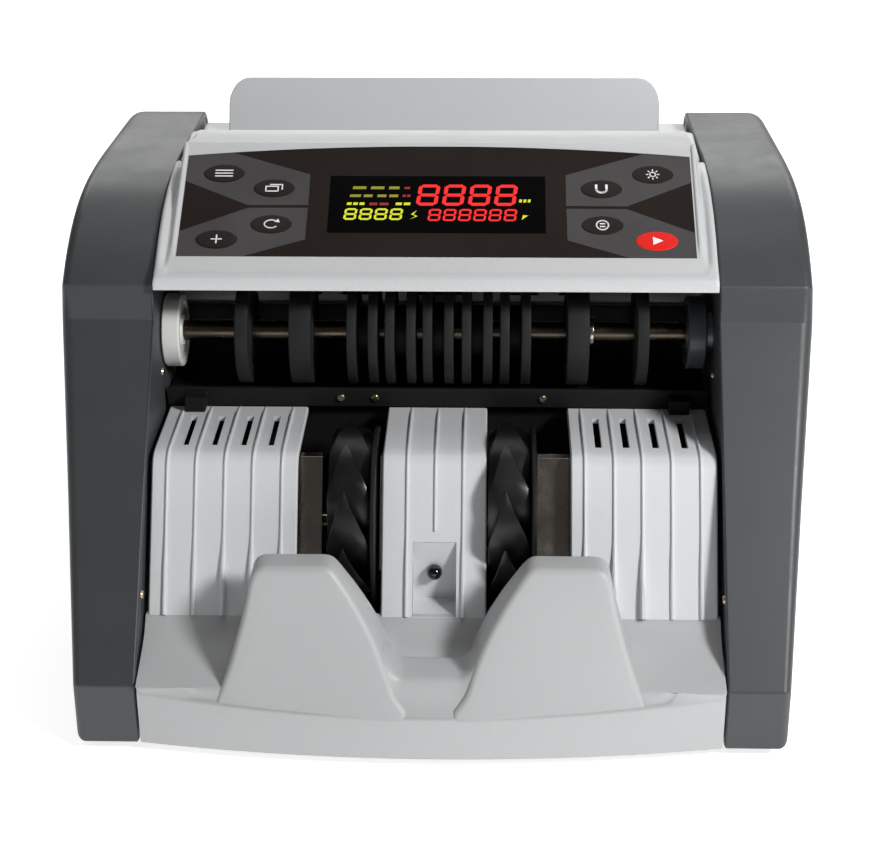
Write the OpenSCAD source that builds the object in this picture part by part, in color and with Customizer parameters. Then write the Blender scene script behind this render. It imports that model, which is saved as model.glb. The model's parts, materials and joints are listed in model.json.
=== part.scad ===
// Banknote counting machine.
// Notes stand in the hopper at the top rear, are picked off one at a time, pass round the
// feed rollers under the lifting head, and are stacked by two vaned wheels in the front tray.
// X runs across the machine, Y from front to rear and Z upwards. Sections are drawn in the
// side view as [y, z], with y = 0 at the front corner of the side covers and z = 0 at the
// underside of the casing; place() then moves them to the centre of the footprint.

/* [Casing] */
// Clear width between the two side covers
channel_w = 216; // [212:1:220]
// Width of one side cover at its widest place
cover_w = 36.3; // [34:0.1:38]
// Depth of a side cover from front to rear
cover_d = 255; // [253:1:260]
// Wall thickness of the moulded covers
wall = 2.4; // [2:0.1:2.6]
// Height of the rubber feet
foot_h = 4; // [3:0.5:6]
// Height of the highest flat of the side covers
hood_top = 172.6; // [172:0.1:174]

/* [Tray] */
// How far the front lip bows forward of its ends
lip_bulge = 9; // [7:0.5:11]
// Height of the two note stops
tooth_top = 69.5; // [66:0.5:71]
// Depth of the note stops at their tops
tooth_d = 11.5; // [9:0.5:13]
// Height of the flat top of the ribbed back plate
plate_top = 90.4; // [90:0.1:90.8]

/* [Head] */
// Slope of the key panel
panel_a = 30.6; // [30:0.1:31]
// Half width of the key panel film
film_half = 99.4; // [98:0.1:100]
// Length of the key panel film up its slope, at its sides
film_side = 51.7; // [50:0.1:52]
// Extra length of the film at its middle
film_rise = 5.2; // [3:0.1:5.4]
// Half length of an oval key
key_a = 8.1; // [7:0.1:8.6]
// Half height of an oval key
key_b = 4.7; // [4:0.1:5]
// Travel of a key
key_travel = 0.5; // [0.3:0.1:0.5]

/* [Feed] */
// Radius of the feed rollers
feed_r = 21; // [20:0.1:21.5]
// Radius of the feed shaft
feed_shaft_r = 3.2; // [2.5:0.1:3.5]
// Radius of the pick-up rollers
pick_r = 18.5; // [18:0.1:18.6]
// Radius of the retard roller
retard_r = 8; // [7.5:0.1:8]

/* [Stacker] */
// Radius over the tips of the stacker vanes
vane_r = 38.5; // [36:0.1:39]
// Number of vanes on a stacker wheel
vanes = 11; // [9:1:12]
// Radius of the stacker shaft
stack_shaft_r = 3; // [2.5:0.1:3.5]

/* [Hidden] */
$fn = 48;

// Colours
dark_grey = "#4a4e52";
light_grey = "#c2c5c8";
black_plastic = "#1c1d1f";
steel = "#a9abad";
black_rubber = "#2a2b2d";
copper = "#b0703a";

// Half width of the channel, and of the whole casing
half_channel = channel_w / 2;
half_w = half_channel + cover_w;
// Half width of a piece that fits between the side covers with a small gap
half_fit = half_channel - 0.7;
// The middle of the footprint, measured back from the front corner of the side covers
mid_y = (cover_d - lip_bulge) / 2;
// Radius of the lip's front arc
lip_r = (half_channel * half_channel + lip_bulge * lip_bulge) / (2 * lip_bulge);
// Radius that breaks a crisp edge
edge_r = 0.8;
// Inner and outer faces of a frame plate, counted from the centre plane
frame_x0 = half_channel + 0.5;
frame_x1 = frame_x0 + 2;
// Where the base plate's top lies
base_t = 1.6;

// Side view of the casing
front_toe = [0, 0];
front_knee = [0.8, 23.9];
front_brow = [88.6, 132.8];
hood_front = [91.7, 146.1];
hood_flat_y = 185;
hood_rear = [cover_d - 2, hood_top - 1.4];
rear_waist = [cover_d, 133];
rear_toe = [cover_d, 0];
hood_steps = 8;
function hood_z(y) = hood_top - (hood_top - hood_front[1])
    * pow((hood_flat_y - y) / (hood_flat_y - hood_front[0]), 3.2);
hood_curve = [for (i = [0:hood_steps])
    let (y = hood_flat_y + (hood_front[0] - hood_flat_y) * i / hood_steps) [y, hood_z(y)]];
casing_outline = concat([front_toe, rear_toe, rear_waist, hood_rear], hood_curve,
    [front_brow, front_knee]);

// Shafts, as [y, z]
feed_c = [115, 118];
pick_c = [163, 108];
retard_c = [163, pick_c[1] + pick_r + retard_r + 1.1];
stack_c = [67.5, 58];
main_motor_c = [205, 40];
stack_motor_c = [140, 35];
hinge_c = [184, 163];
rail_c = [236, 158];
tie_places = [[32, 18], [130, 72], [215, 96]];
bearing_r = 8;
hinge_pin_r = 2.5;
rail_r = 3;
tie_r = 4;
motor_shaft_r = 2.5;
running = 0.05;

// Pulleys: radii and belt planes outside the frame plates
main_motor_pulley_r = 9;
pick_drive_r = 15;
stack_pulley_r = 12;
stack_motor_pulley_r = 8;
belt_w = 6;
belt_t = 1.6;
belt_gap = 0.3;
inner_belt_x = frame_x1 + 3.5;
// Feed gears: a pair of equal gears, outside the drive belt
gear_teeth = 32;
gear_x0 = inner_belt_x + belt_w + 2.5;
gear_x1 = gear_x0 + 5;
gear_line = pick_c - feed_c;
gear_r = norm(gear_line) / 2;
gear_angle = atan2(gear_line[1], gear_line[0]);

// Key panel: its lowest line as [y, z], and the places of its pieces as [x, up the slope]
panel_foot = [98, 155.3];
film_t = 0.8;
plateau_rim = 3;
window_c = [0, 26.5];
window_w = 84.4;
window_h = 29.2;
key_gap = 0.3;
key_flange = 1.1;
key_depth = 2.6;
key_places = [[-84.4, 42.1], [-64.1, 34.5], [-64, 16], [-84.6, 8.3],
              [84.4, 42.1], [64.1, 34.5], [64, 16], [84.6, 8.3]];

// ---------- geometry helpers ----------

function unit(v) = v / norm(v);
function left_of(a, b) = let (d = unit(b - a)) [-d[1], d[0]];
// The corner b of the path a, b, c moved to the left of both its edges
function inset_corner(a, b, c, r) = let (m = left_of(a, b), n = left_of(b, c)) b + r * (m + n) / (1 + m * n);
function inset(pts, r) = let (n = len(pts))
    [for (i = [0:n - 1]) inset_corner(pts[(i + n - 1) % n], pts[i], pts[(i + 1) % n], r)];
// An open line moved to its left
function shift_line(l, r) = let (n = len(l)) [for (i = [0:n - 1]) inset_corner(
    i == 0 ? 2 * l[0] - l[1] : l[i - 1], l[i], i == n - 1 ? 2 * l[i] - l[i - 1] : l[i + 1], r)];
function reversed(l) = [for (i = [len(l) - 1:-1:0]) l[i]];
// A sheet of thickness t that lies to the left of a line
function sheet(l, t) = concat(l, reversed(shift_line(l, t)));
function arc(c, r, from, to, n) = [for (i = [0:n])
    let (a = from + (to - from) * i / n) c + r * [cos(a), sin(a)]];
function oval(a, b) = [for (i = [0:31]) [a * cos(i * 11.25), b * sin(i * 11.25)]];
function rounded_box(w, h, r) = concat(
    arc([w / 2 - r, h / 2 - r], r, 0, 90, 4), arc([r - w / 2, h / 2 - r], r, 90, 180, 4),
    arc([r - w / 2, r - h / 2], r, 180, 270, 4), arc([w / 2 - r, r - h / 2], r, 270, 360, 4));

module place() { translate([0, -mid_y, foot_h]) children(); }

// A side view section drawn out from x0 to x1
module slab(x0, x1) { translate([x0, 0, 0]) rotate([90, 0, 90]) linear_extrude(x1 - x0) children(); }

// A front view section, in x and z, drawn out from y0 to y1
module front_slab(y0, y1) { translate([0, y1, 0]) rotate([90, 0, 0]) linear_extrude(y1 - y0) children(); }

module box(x0, x1, y0, y1, z0, z1) { translate([x0, y0, z0]) cube([x1 - x0, y1 - y0, z1 - z0]); }

module rod(c, r, x0, x1) { translate([x0, c[0], c[1]]) rotate([0, 90, 0]) cylinder(r = r, h = x1 - x0); }

module tube(c, r_out, r_in, x0, x1) {
    difference() {
        rod(c, r_out, x0, x1);
        rod(c, r_in, x0 - 1, x1 + 1);
    }
}

module both_sides() {
    children();
    mirror([1, 0, 0]) children();
}

module on_panel() { translate([0, panel_foot[0], panel_foot[1]]) rotate([panel_a, 0, 0]) children(); }

// ---------- casing ----------

// One convex body of a side cover; t moves all its faces inwards
module cover_body(pts, outer, radii, t) {
    n = len(pts);
    edge = inset(pts, edge_r + t);
    hull() for (i = [0:n - 1]) {
        c = inset_corner(pts[(i + n - 1) % n], pts[i], pts[(i + 1) % n], radii[i]);
        rod(edge[i], edge_r, half_channel - (t > 0 ? 1 : 0), outer[i] - radii[i], $fn = 16);
        translate([outer[i] - radii[i], c[0], c[1]]) sphere(r = radii[i] - t, $fn = 24);
    }
}

module cover_form(t) {
    lower = [front_toe, rear_toe, rear_waist, front_brow, front_knee];
    low_x = half_w - 13;
    cover_body(lower, [low_x, low_x, half_w, half_w, low_x], [3.4, 3.4, 5.3, 5.3, 3.4], t);
    hood = concat([front_brow, [110, 112], [cover_d - 1, 112], hood_rear], hood_curve);
    hood_x = half_w - 0.8;
    radii = [for (p = hood) 4 + 11 * max(p[0] - hood_front[0], 0) / (cover_d - hood_front[0])];
    outer = [for (p = hood) p[1] < 113 ? hood_x - 5 : hood_x];
    cover_body(hood, outer, radii, t);
}

module side_cover() {
    difference() {
        cover_form(0);
        cover_form(wall);
        // Room for the feed gear behind the brow
        box(half_channel - 1, 135, 91, 96.5, 129.5, 133.5);
    }
}

module right_side_cover() { color(dark_grey) place() side_cover(); }

module left_side_cover() { color(dark_grey) place() mirror([1, 0, 0]) side_cover(); }

// side is 1 for the right plate and -1 for the left one, which has other shaft holes
module frame_plate(side) {
    difference() {
        slab(frame_x0, frame_x1) polygon(inset(casing_outline, wall + 0.5));
        // Clear of the seam inside the cover, at its brow and its rear
        box(frame_x0 - 1, frame_x1 + 1, 86, 95.5, 129.6, 134);
        box(frame_x0 - 1, frame_x1 + 1, 250.3, cover_d, 129.6, 172);
        for (c = [feed_c, pick_c, stack_c]) rod(c, bearing_r, frame_x0 - 1, frame_x1 + 1);
        for (c = tie_places) rod(c, 2, frame_x0 - 1, frame_x1 + 1);
        rod(rail_c, rail_r, frame_x0 - 1, frame_x1 + 1);
        rod(hinge_c, hinge_pin_r, frame_x0 - 1, frame_x1 + 1);
        rod(side > 0 ? stack_motor_c : main_motor_c, 6, frame_x0 - 1, frame_x1 + 1);
    }
}

module right_frame_plate() { color(dark_grey) place() frame_plate(1); }

module left_frame_plate() { color(dark_grey) place() mirror([1, 0, 0]) frame_plate(-1); }

module tie_rods() {
    color(steel) place() for (c = tie_places) {
        rod(c, tie_r, -frame_x0, frame_x0);
        rod(c, 2, -frame_x1, frame_x1);
    }
}

module base_plate() {
    color(steel) place() {
        difference() {
            box(-half_fit, half_fit, 8, cover_d - 10, 0, base_t);
            for (x = [-60, -30, 30, 60], y = [60, 90]) box(x - 10, x + 10, y, y + 3, -1, base_t + 1);
        }
        both_sides() box(half_fit - 1.6, half_fit, 40, cover_d - 14, base_t, 12);
    }
}

rear_y = cover_d - 12;
socket_c = [74, 30];
switch_c = [36, 30];
fuse_c = [6, 30];
module rear_cover() {
    color(light_grey) place() difference() {
        union() {
            box(-half_fit, half_fit, rear_y, rear_y + wall, base_t + 0.4, 166);
            box(-half_fit, half_fit, 232, rear_y + 0.1, 166 - wall, 166);
        }
        box(socket_c[0] - 14, socket_c[0] + 14, rear_y - 1, rear_y + 4, socket_c[1] - 10.5, socket_c[1] + 10.5);
        box(switch_c[0] - 7.2, switch_c[0] + 7.2, rear_y - 1, rear_y + 4, switch_c[1] - 10.4, switch_c[1] + 10.4);
        translate([fuse_c[0], rear_y - 1, fuse_c[1]]) rotate([-90, 0, 0]) cylinder(r = 6.2, h = 5);
        for (i = [0:7], side = [-1, 1]) box(side * 52 - 28, side * 52 + 28, rear_y - 1, rear_y + 4,
            78 + i * 8, 81 + i * 8);
    }
}

feet_x = 92;
feet_y = [26, 228];
module rubber_feet() {
    color(black_rubber) place() both_sides() for (y = feet_y)
        translate([feet_x, y, -foot_h]) difference() {
            cylinder(r1 = 8.5, r2 = 9.5, h = foot_h);
            translate([0, 0, -0.1]) cylinder(r = 3.4, h = 2.1);
        }
}

// ---------- tray and stacker ----------

tray_line = [[-12, 16], [0, 24], [8.3, 29.8], [17, 34.3], [26.6, 37.4]];
// Everything behind the lip's bowed front, less a skin of thickness t
module behind_lip(t, z0, z1) {
    half_angle = asin(half_channel / lip_r);
    translate([0, 0, z0]) linear_extrude(z1 - z0) polygon(concat(
        arc([0, lip_r - lip_bulge], lip_r - t, 270 - half_angle, 270 + half_angle, 24),
        [[half_channel, 60], [-half_channel, 60]]));
}

// Front view of the right note stop
tooth_front = [[9, 18], [12.3, 24], [15.3, 32], [20.7, 45.7], [28.2, 58.5], [31.6, 64.6],
    [37, tooth_top], [61.5, tooth_top], [64.6, 67], [66.8, 55.3], [69.9, 43.8], [73.8, 31.4],
    [76.9, 23.6], [79, 18]];
module note_stop() {
    lean = 17.4 / 51.5;
    front_y = -8.4 + (tooth_top - 18) * lean;
    intersection() {
        front_slab(-10, 40) polygon(tooth_front);
        slab(0, half_fit) polygon([[-8.6, 17.4], [front_y, tooth_top], [front_y + tooth_d, tooth_top],
            [front_y + tooth_d, 34.6], [4, 25.4]]);
        behind_lip(0.5, 0, 80);
    }
}

module stacker_tray() {
    color(light_grey) place() {
        intersection() {
            slab(-half_fit, half_fit) polygon(sheet(reversed(tray_line), 2.4));
            behind_lip(0, 0, 60);
        }
        intersection() {
            slab(-half_fit, half_fit) polygon([[-12, 0], [6, 0], [0, 23], [-12, 15]]);
            difference() {
                behind_lip(0, -1, 60);
                behind_lip(3, -2, 61);
            }
        }
        both_sides() note_stop();
        slab(-15.1, 15.1) polygon([[-4.3, 19.9], [-1.1, 30.2], [13.7, 30.2], [13.7, 31], [5, 26.1]]);
    }
}

plate_line = [[102, plate_top], [62.5, plate_top], [59, 89.8], [57, 88], [27, 37.6]];
plate_t = 2.2;
left_piece = [-106.5, -51.2];
centre_piece = [-19.2, 20.1];
right_piece = [51.7, 106.5];
side_ribs = [57, 68, 78.6, 89.6, 100.5];
side_slots = [62.5, 73, 84.2, 95.2];
centre_ribs = [-9.7, 0.9, 11.4];
rib_h = 0.9;
rib_line = [[92, plate_top], [62.5, plate_top], [59, 89.8], [57, 88], [27.6, 38.6]];
recess = [-7.4, 8.9];
sensor_c = [0.6, 50.4];
sensor_r = 2.6;
module stacker_back_plate() {
    color(light_grey) place() difference() {
        union() {
            for (p = [left_piece, centre_piece, right_piece]) slab(p[0], p[1]) polygon(sheet(plate_line, plate_t));
            box(left_piece[0], right_piece[1], 94.5, 102, plate_top - 1.8, plate_top);
            for (x = side_ribs, s = [-1, 1]) slab(s * x - 0.5, s * x + 0.5) polygon(sheet(rib_line, -rib_h));
            for (x = centre_ribs) slab(x - 0.5, x + 0.5) polygon(sheet(rib_line, -rib_h));
            slab(recess[0] - 1.2, recess[1] + 1.2) polygon([[43.6, 61], [43.6, 36.2], [29, 36.2], [29, 41]]);
        }
        translate([sensor_c[0], 40, sensor_c[1]]) rotate([-90, 0, 0]) cylinder(r = sensor_r, h = 6);
        slab(recess[0], recess[1]) polygon([[41.8, 64], [41.8, 38.4], [27, 38.4], [20, 44], [34, 64]]);
        for (x = side_slots, s = [-1, 1]) box(s * x - 1.05, s * x + 1.05, 66.5, 92, plate_top - 6, plate_top + 3);
    }
}

module stack_sensor() {
    color("#30343a") place() translate([sensor_c[0], 0, sensor_c[1]]) {
        translate([0, 38.4, 0]) rotate([-90, 0, 0]) cylinder(r = sensor_r, h = 5.2);
        translate([0, 38.4, 0]) sphere(r = sensor_r);
    }
}

throat_line = [[66, 86], [44, 49]];
module throat_plate() {
    color(steel) place() difference() {
        slab(-106, 106) polygon(sheet(concat([[70, 86]], throat_line), 1));
        for (x = [[-42.4, -20.7], [17.2, 39.2]]) box(x[0], x[1], 20, 71, 20, 90);
    }
}

// The guide wraps round the feed rollers with a small gap for the notes
guide_r = feed_r + 2.2;
module lower_guide() {
    color(black_plastic) place() {
        slab(-half_fit, half_fit) polygon(concat(arc(feed_c, guide_r, 240, 365, 18),
            reversed(arc(feed_c, guide_r + 2.2, 240, 365, 18))));
        box(-half_fit, half_fit, 102.1, 104.2, plate_top + 0.2, 98.4);
        box(-half_fit, half_fit, 104, 109, plate_top + 0.2, plate_top + 2);
        box(-half_fit, half_fit, 107.5, 109, 24, plate_top + 1);
        both_sides() box(91.6, 99.6, 96, 102.2, plate_top + 0.2, 96.4);
    }
}

// A stacker wheel with its hub centred on x = 0
wheel_w = 15.8;
hub_r = 11;
vane_sweep = 105;
vane_phase = 5;
function vane_radius(s) = vane_r - (vane_r - hub_r + 1) * pow(s / vane_sweep, 1.25);
function vane_edge(t) = [for (i = [0:9])
    let (s = vane_sweep * i / 9, r = max(vane_radius(s) - t * (0.35 + 0.65 * min(i, 3) / 3), hub_r - 2))
    r * [cos(s), sin(s)]];
module impeller(x) {
    place() translate([0, stack_c[0], stack_c[1]]) difference() {
        union() {
            rod([0, 0], hub_r, x - wheel_w / 2, x + wheel_w / 2);
            intersection() {
                for (i = [0:vanes - 1]) rotate([i * 360 / vanes + vane_phase, 0, 0])
                    slab(x - wheel_w / 2, x + wheel_w / 2)
                    polygon(concat(vane_edge(0), reversed(vane_edge(2.2))));
                translate([x, 0, 0]) rotate([0, 90, 0]) rotate_extrude($fn = 96) polygon([
                    [0, -wheel_w / 2], [hub_r + 17, -wheel_w / 2], [vane_r + 0.1, -1],
                    [vane_r + 0.1, 1], [hub_r + 17, wheel_w / 2], [0, wheel_w / 2]]);
            }
        }
        rod([0, 0], stack_shaft_r, x - wheel_w, x + wheel_w);
    }
}

module left_impeller() { color(black_plastic) impeller(-31.5); }

module right_impeller() { color(black_plastic) impeller(28.6); }

module stacker_shaft() {
    color(steel) place() rod(stack_c, stack_shaft_r, -frame_x1 - 3, inner_belt_x + belt_w + 1.5);
}

// ---------- feed ----------

// Plain bearings for the three shafts in both frame plates
module shaft_bearings() {
    color(steel) place() both_sides() {
        for (c = [feed_c, pick_c]) tube(c, bearing_r, feed_shaft_r + running, frame_x0 - 2.4, frame_x1);
        tube(stack_c, bearing_r, stack_shaft_r + running, frame_x0 - 2.4, frame_x1);
    }
}

// A gear whose first tooth points along the angle a
module gear(c, a, x0, x1) {
    pitch = 360 / gear_teeth;
    root = gear_r - 1.8;
    tip = gear_r + 1.25;
    difference() {
        slab(x0, x1) polygon([for (i = [0:gear_teeth - 1], p = [[root, -0.33], [tip, -0.13], [tip, 0.13],
            [root, 0.33]]) let (b = a + (i + p[1]) * pitch) c + p[0] * [cos(b), sin(b)]]);
        rod(c, feed_shaft_r, x0 - 1, x1 + 1);
    }
}

// A toothed pulley with flanges; x is the belt's inner edge, counted outwards
module pulley(c, r, shaft_r, x) {
    difference() {
        union() {
            rod(c, r, x - 1, x + belt_w + 1);
            for (x0 = [x - 1.3, x + belt_w + 0.3]) rod(c, r + 2.4, x0, x0 + 1);
        }
        rod(c, shaft_r, x - 3, x + belt_w + 3);
    }
}

// A belt round two pulleys, as [centre, radius] each
module belt(a, b, x) {
    difference() {
        hull() for (p = [a, b]) rod(p[0], p[1] + belt_gap + belt_t, x + 0.4, x + belt_w - 0.4);
        hull() for (p = [a, b]) rod(p[0], p[1] + belt_gap, x, x + belt_w);
    }
}

module feed_shaft() { color(steel) place() rod(feed_c, feed_shaft_r, -gear_x1 - 0.8, frame_x1 + 2); }

// Feed rollers as [low x, high x]
narrow_rollers = [[-78.4, -73.3], [78, 82.6]];
wide_rollers = [[-57.3, -48.8], [51, 59.5]];
spool_x = [-28.8, -13.9, 0.8, 16, 30.9];
spool_half = 6;
spool_flange = 3.7;
module feed_rollers() {
    color(black_rubber) place() {
        for (p = concat(narrow_rollers, wide_rollers)) tube(feed_c, feed_r, feed_shaft_r, p[0], p[1]);
        for (x = spool_x) {
            tube(feed_c, feed_r, feed_shaft_r, x - spool_half, x - spool_half + spool_flange);
            tube(feed_c, feed_r - 8, feed_shaft_r, x - spool_half + spool_flange, x + spool_half - spool_flange);
            tube(feed_c, feed_r, feed_shaft_r, x + spool_half - spool_flange, x + spool_half);
        }
    }
}

module feed_end_discs() {
    color("#dcdcd8") place() {
        tube(feed_c, 14.5, feed_shaft_r, -104.2, -96.7);
        tube(feed_c, 14.5, feed_shaft_r, 98.3, 105.4);
    }
}

module feed_gear() { color("#dcdcd8") place() gear(feed_c, gear_angle, -gear_x1, -gear_x0); }

module pickup_shaft() { color(steel) place() rod(pick_c, feed_shaft_r, -gear_x1 - 0.8, frame_x1 + 2); }

pick_rollers = [[-60, -50], [-40, -30], [-10, 10], [30, 40], [50, 60]];
module pickup_rollers() {
    color(black_rubber) place() for (p = pick_rollers) tube(pick_c, pick_r, feed_shaft_r, p[0], p[1]);
}

module pickup_pulley() {
    color(black_plastic) place() mirror([1, 0, 0]) pulley(pick_c, pick_drive_r, feed_shaft_r, inner_belt_x);
}

module pickup_gear() {
    color(black_plastic) place() gear(pick_c, gear_angle + 180 + 180 / gear_teeth, -gear_x1, -gear_x0);
}

module drive_belt() {
    color(black_rubber) place() mirror([1, 0, 0])
        belt([main_motor_c, main_motor_pulley_r], [pick_c, pick_drive_r], inner_belt_x);
}

// A motor on the inner face of a frame plate, its nose in the plate's hole
module motor(c, r, length) {
    difference() {
        union() {
            rod(c, r, frame_x0 - length, frame_x0);
            rod(c, r - 3, frame_x0 - length - 6, frame_x0 - length);
            rod(c, 5.8, frame_x0, frame_x1 + 1);
        }
        rod(c, motor_shaft_r + running, frame_x0 - 20, frame_x1 + 2);
    }
}

module motor_pulley(c, r) {
    pulley(c, r, motor_shaft_r, inner_belt_x);
    rod(c, motor_shaft_r, frame_x0 - 18, inner_belt_x + belt_w + 1.3);
}

module main_motor() { color(steel) place() mirror([1, 0, 0]) motor(main_motor_c, 25, 60); }

module main_motor_pulley() { color(steel) place() mirror([1, 0, 0]) motor_pulley(main_motor_c, main_motor_pulley_r); }

module stacker_motor() { color(steel) place() motor(stack_motor_c, 21, 48); }

module stacker_motor_pulley() { color(steel) place() motor_pulley(stack_motor_c, stack_motor_pulley_r); }

module stacker_pulley() {
    color(black_plastic) place() pulley(stack_c, stack_pulley_r, stack_shaft_r, inner_belt_x);
}

module stacker_belt() {
    color(black_rubber) place()
        belt([stack_motor_c, stack_motor_pulley_r], [stack_c, stack_pulley_r], inner_belt_x);
}

// ---------- hopper ----------

hopper_line = [[237, 189], [216, 144], [150, 121], [142.5, 120]];
hopper_half = 95;
guide_slot = [44, 93];
module hopper_plate() {
    color(light_grey) place() difference() {
        intersection() {
            slab(-half_fit, half_fit) polygon(sheet(hopper_line, wall));
            union() {
                box(-hopper_half, hopper_half, 200, 250, 110, 200);
                box(-half_fit, half_fit, 130, 217, 110, 148);
            }
            front_slab(130, 250) polygon(concat(
                arc([hopper_half - 10.6, 178.4], 10.6, 0, 90, 6), arc([10.6 - hopper_half, 178.4], 10.6, 90, 180, 6),
                [[-hopper_half, 149], [-half_fit, 149], [-half_fit, 100], [half_fit, 100], [half_fit, 149],
                 [hopper_half, 149]]));
        }
        for (p = pick_rollers) rod(pick_c, pick_r + 1, p[0] - 1, p[1] + 1);
        both_sides() box(guide_slot[0], guide_slot[1], 210, 240, rail_c[1] - 4, rail_c[1] + 4);
    }
}

front_wall_line = [[141, 127], [150, 133], [186, 149], [191, 157]];
module hopper_front() {
    color(black_plastic) place() difference() {
        slab(-half_fit, half_fit) polygon(sheet(front_wall_line, 2));
        box(-17, 17, 150, 177, 120, 160);
    }
}
// Top of the retard bracket
bracket_top = 152;

module retard_bracket() {
    color(black_rubber) place() {
        rod(retard_c, retard_r, -10, 10);
        rod(retard_c, 2.2, -12.6, 12.6);
        both_sides() box(10.4, 12.6, 156.5, 169.5, retard_c[1] - 3, bracket_top);
        box(-12.6, 12.6, 156.5, 169.5, 150, bracket_top);
    }
}

knob_z = 156.8;
// The adjusting screw's end bears on the bracket, just above its highest place
screw_end = bracket_top + 0.4;
module gap_knob() {
    color(black_plastic) place() translate([0, retard_c[0], 0]) {
        translate([0, 0, knob_z]) difference() {
            cylinder(r = 7.5, h = 6);
            for (i = [0:17]) rotate(i * 20) translate([7.9, 0, -1]) cylinder(r = 0.8, h = 8, $fn = 16);
        }
        translate([0, 0, screw_end]) cylinder(r = 2, h = knob_z - screw_end);
    }
}

module retard_bridge() {
    color(steel) place() difference() {
        union() {
            box(-frame_x0, frame_x0, 171, 173, 146, 152.4);
            box(-24, 24, 171, 173, 152, 156);
            box(-24, 24, 155, 171.1, 154, 156);
        }
        translate([0, retard_c[0], 153]) cylinder(r = 2 + running, h = 4);
    }
}

// A note guide with its arm through the slot of the hopper plate to a slider on the rail
guide_rest_x = 90;
module note_guide() {
    slab(guide_rest_x - 2, guide_rest_x) polygon([[199, 142.4], [215, 148], [221.4, 161.6], [203, 161.6]]);
    box(guide_rest_x - 2, guide_rest_x, 214, rail_c[0] - 4.5, rail_c[1] - 2, rail_c[1] + 2);
    difference() {
        box(guide_rest_x - 6, guide_rest_x + 2, rail_c[0] - 5, rail_c[0] + 5, rail_c[1] - 5, rail_c[1] + 5);
        rod(rail_c, rail_r + running, 0, half_w);
    }
}

module right_note_guide() { color(black_plastic) place() note_guide(); }

module left_note_guide() { color(black_plastic) place() mirror([1, 0, 0]) note_guide(); }

module guide_rail() { color(steel) place() rod(rail_c, rail_r, -frame_x1, frame_x1); }

// ---------- head ----------

notch_y = 154.5;
rear_half = half_fit - 1.8;
head_rear = [190.6, 177.5];
head_low = [[88, 145], [88.5, 150.5], [94, 156], [107.8, 163.7], [131.3, 171.3], [notch_y, 175.8],
    [187, 178.8], head_rear, [head_rear[0], 160], [180, 155.5], [150, 148]];
plateau_foot = panel_foot - [1.6, 1];
plateau_top = panel_foot + (film_side + film_rise + 1.2) * [cos(panel_a), sin(panel_a)];
plateau = [plateau_foot - [0.6, 3], plateau_foot, plateau_top, [187, 181.2], [189.6, 178.5],
    [189.6, 168], [120, 160]];
plateau_half = film_half + plateau_rim;

module head_form(t) {
    low = inset(reversed(head_low), t);
    high = inset(reversed(plateau), t);
    intersection() {
        slab(t - half_fit, half_fit - t) polygon(low);
        union() {
            box(-half_fit, half_fit, 80, notch_y, 140, 200);
            box(t - rear_half, rear_half - t, 80, 200, 140, 200);
        }
    }
    slab(t - plateau_half, plateau_half - t) polygon(high);
}

function film_outline(grow) = concat(
    [[-film_half - grow, -grow], [film_half + grow, -grow]],
    [for (i = [0:16]) let (x = (film_half + grow) * (1 - i / 8))
        [x, film_side + grow + film_rise * (1 - pow(x / (film_half + grow), 2))]]);

module head_cover() {
    color(light_grey) place() difference() {
        head_form(0);
        head_form(wall);
        slab(wall - half_fit, half_fit - wall) polygon([[92, 140], [92, 152], [130, 160], [172, 168],
            [186, 160], [186, 140]]);
        on_panel() {
            translate([0, 0, -film_t]) linear_extrude(20) polygon(film_outline(0.15));
            for (p = key_places) translate([p[0], p[1], -8]) linear_extrude(8)
                polygon(oval(key_a + key_flange + 0.5, key_b + key_flange + 0.5));
            translate([-window_w / 2 + 3, window_c[1] - window_h / 2 + 2, -12])
                cube([window_w - 6, window_h - 4, 12]);
        }
        both_sides() rod(hinge_c, hinge_pin_r + running, 90, half_channel);
    }
}

module keypad_film() {
    color(black_plastic) place() on_panel() translate([0, 0, -film_t]) linear_extrude(film_t) difference() {
        polygon(film_outline(0));
        for (p = key_places) translate(p) polygon(oval(key_a + key_gap, key_b + key_gap));
        translate(window_c) square([window_w, window_h], center = true);
    }
}

module display_window() {
    color("#050506") place() on_panel() translate([window_c[0], window_c[1], -film_t])
        linear_extrude(film_t - 0.1) square([window_w - 0.1, window_h - 0.1], center = true);
}

module display_module() {
    color("#3c4a3e") place() on_panel() {
        translate([window_c[0], window_c[1], -5.4]) linear_extrude(4.5)
            square([window_w - 8, window_h - 6], center = true);
        translate([window_c[0], window_c[1], -7]) linear_extrude(1.6)
            square([window_w - 6, window_h + 4], center = true);
    }
}

module key_boards() {
    color("#2e5a3a") place() on_panel() both_sides() {
        translate([74.3, 25, -6.4]) linear_extrude(1.6) polygon(rounded_box(40, 46, 2));
        for (p = key_places) if (p[0] > 0) translate([p[0], p[1], -4.81])
            cylinder(r = 3, h = 4.81 - key_depth - key_travel - 0.4);
    }
}

// An oval key that stands a hair proud of the film, with a flange that holds it from below
module key(i) {
    place() on_panel() translate([key_places[i][0], key_places[i][1], 0]) {
        translate([0, 0, -1.6]) linear_extrude(1.75) polygon(oval(key_a, key_b));
        translate([0, 0, -key_depth]) linear_extrude(1.3) polygon(oval(key_a + key_flange, key_b + key_flange));
    }
}

module stack_key() { color("#3f3c3d") key(0); }

module double_key() { color("#3f3c3d") key(1); }

module auto_key() { color("#3f3c3d") key(2); }

module add_key() { color("#3f3c3d") key(3); }

module lamp_key() { color("#3f3c3d") key(4); }

module magnet_key() { color("#3f3c3d") key(5); }

module value_key() { color("#3f3c3d") key(6); }

module start_key() { color("#e0231c") key(7); }

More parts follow.
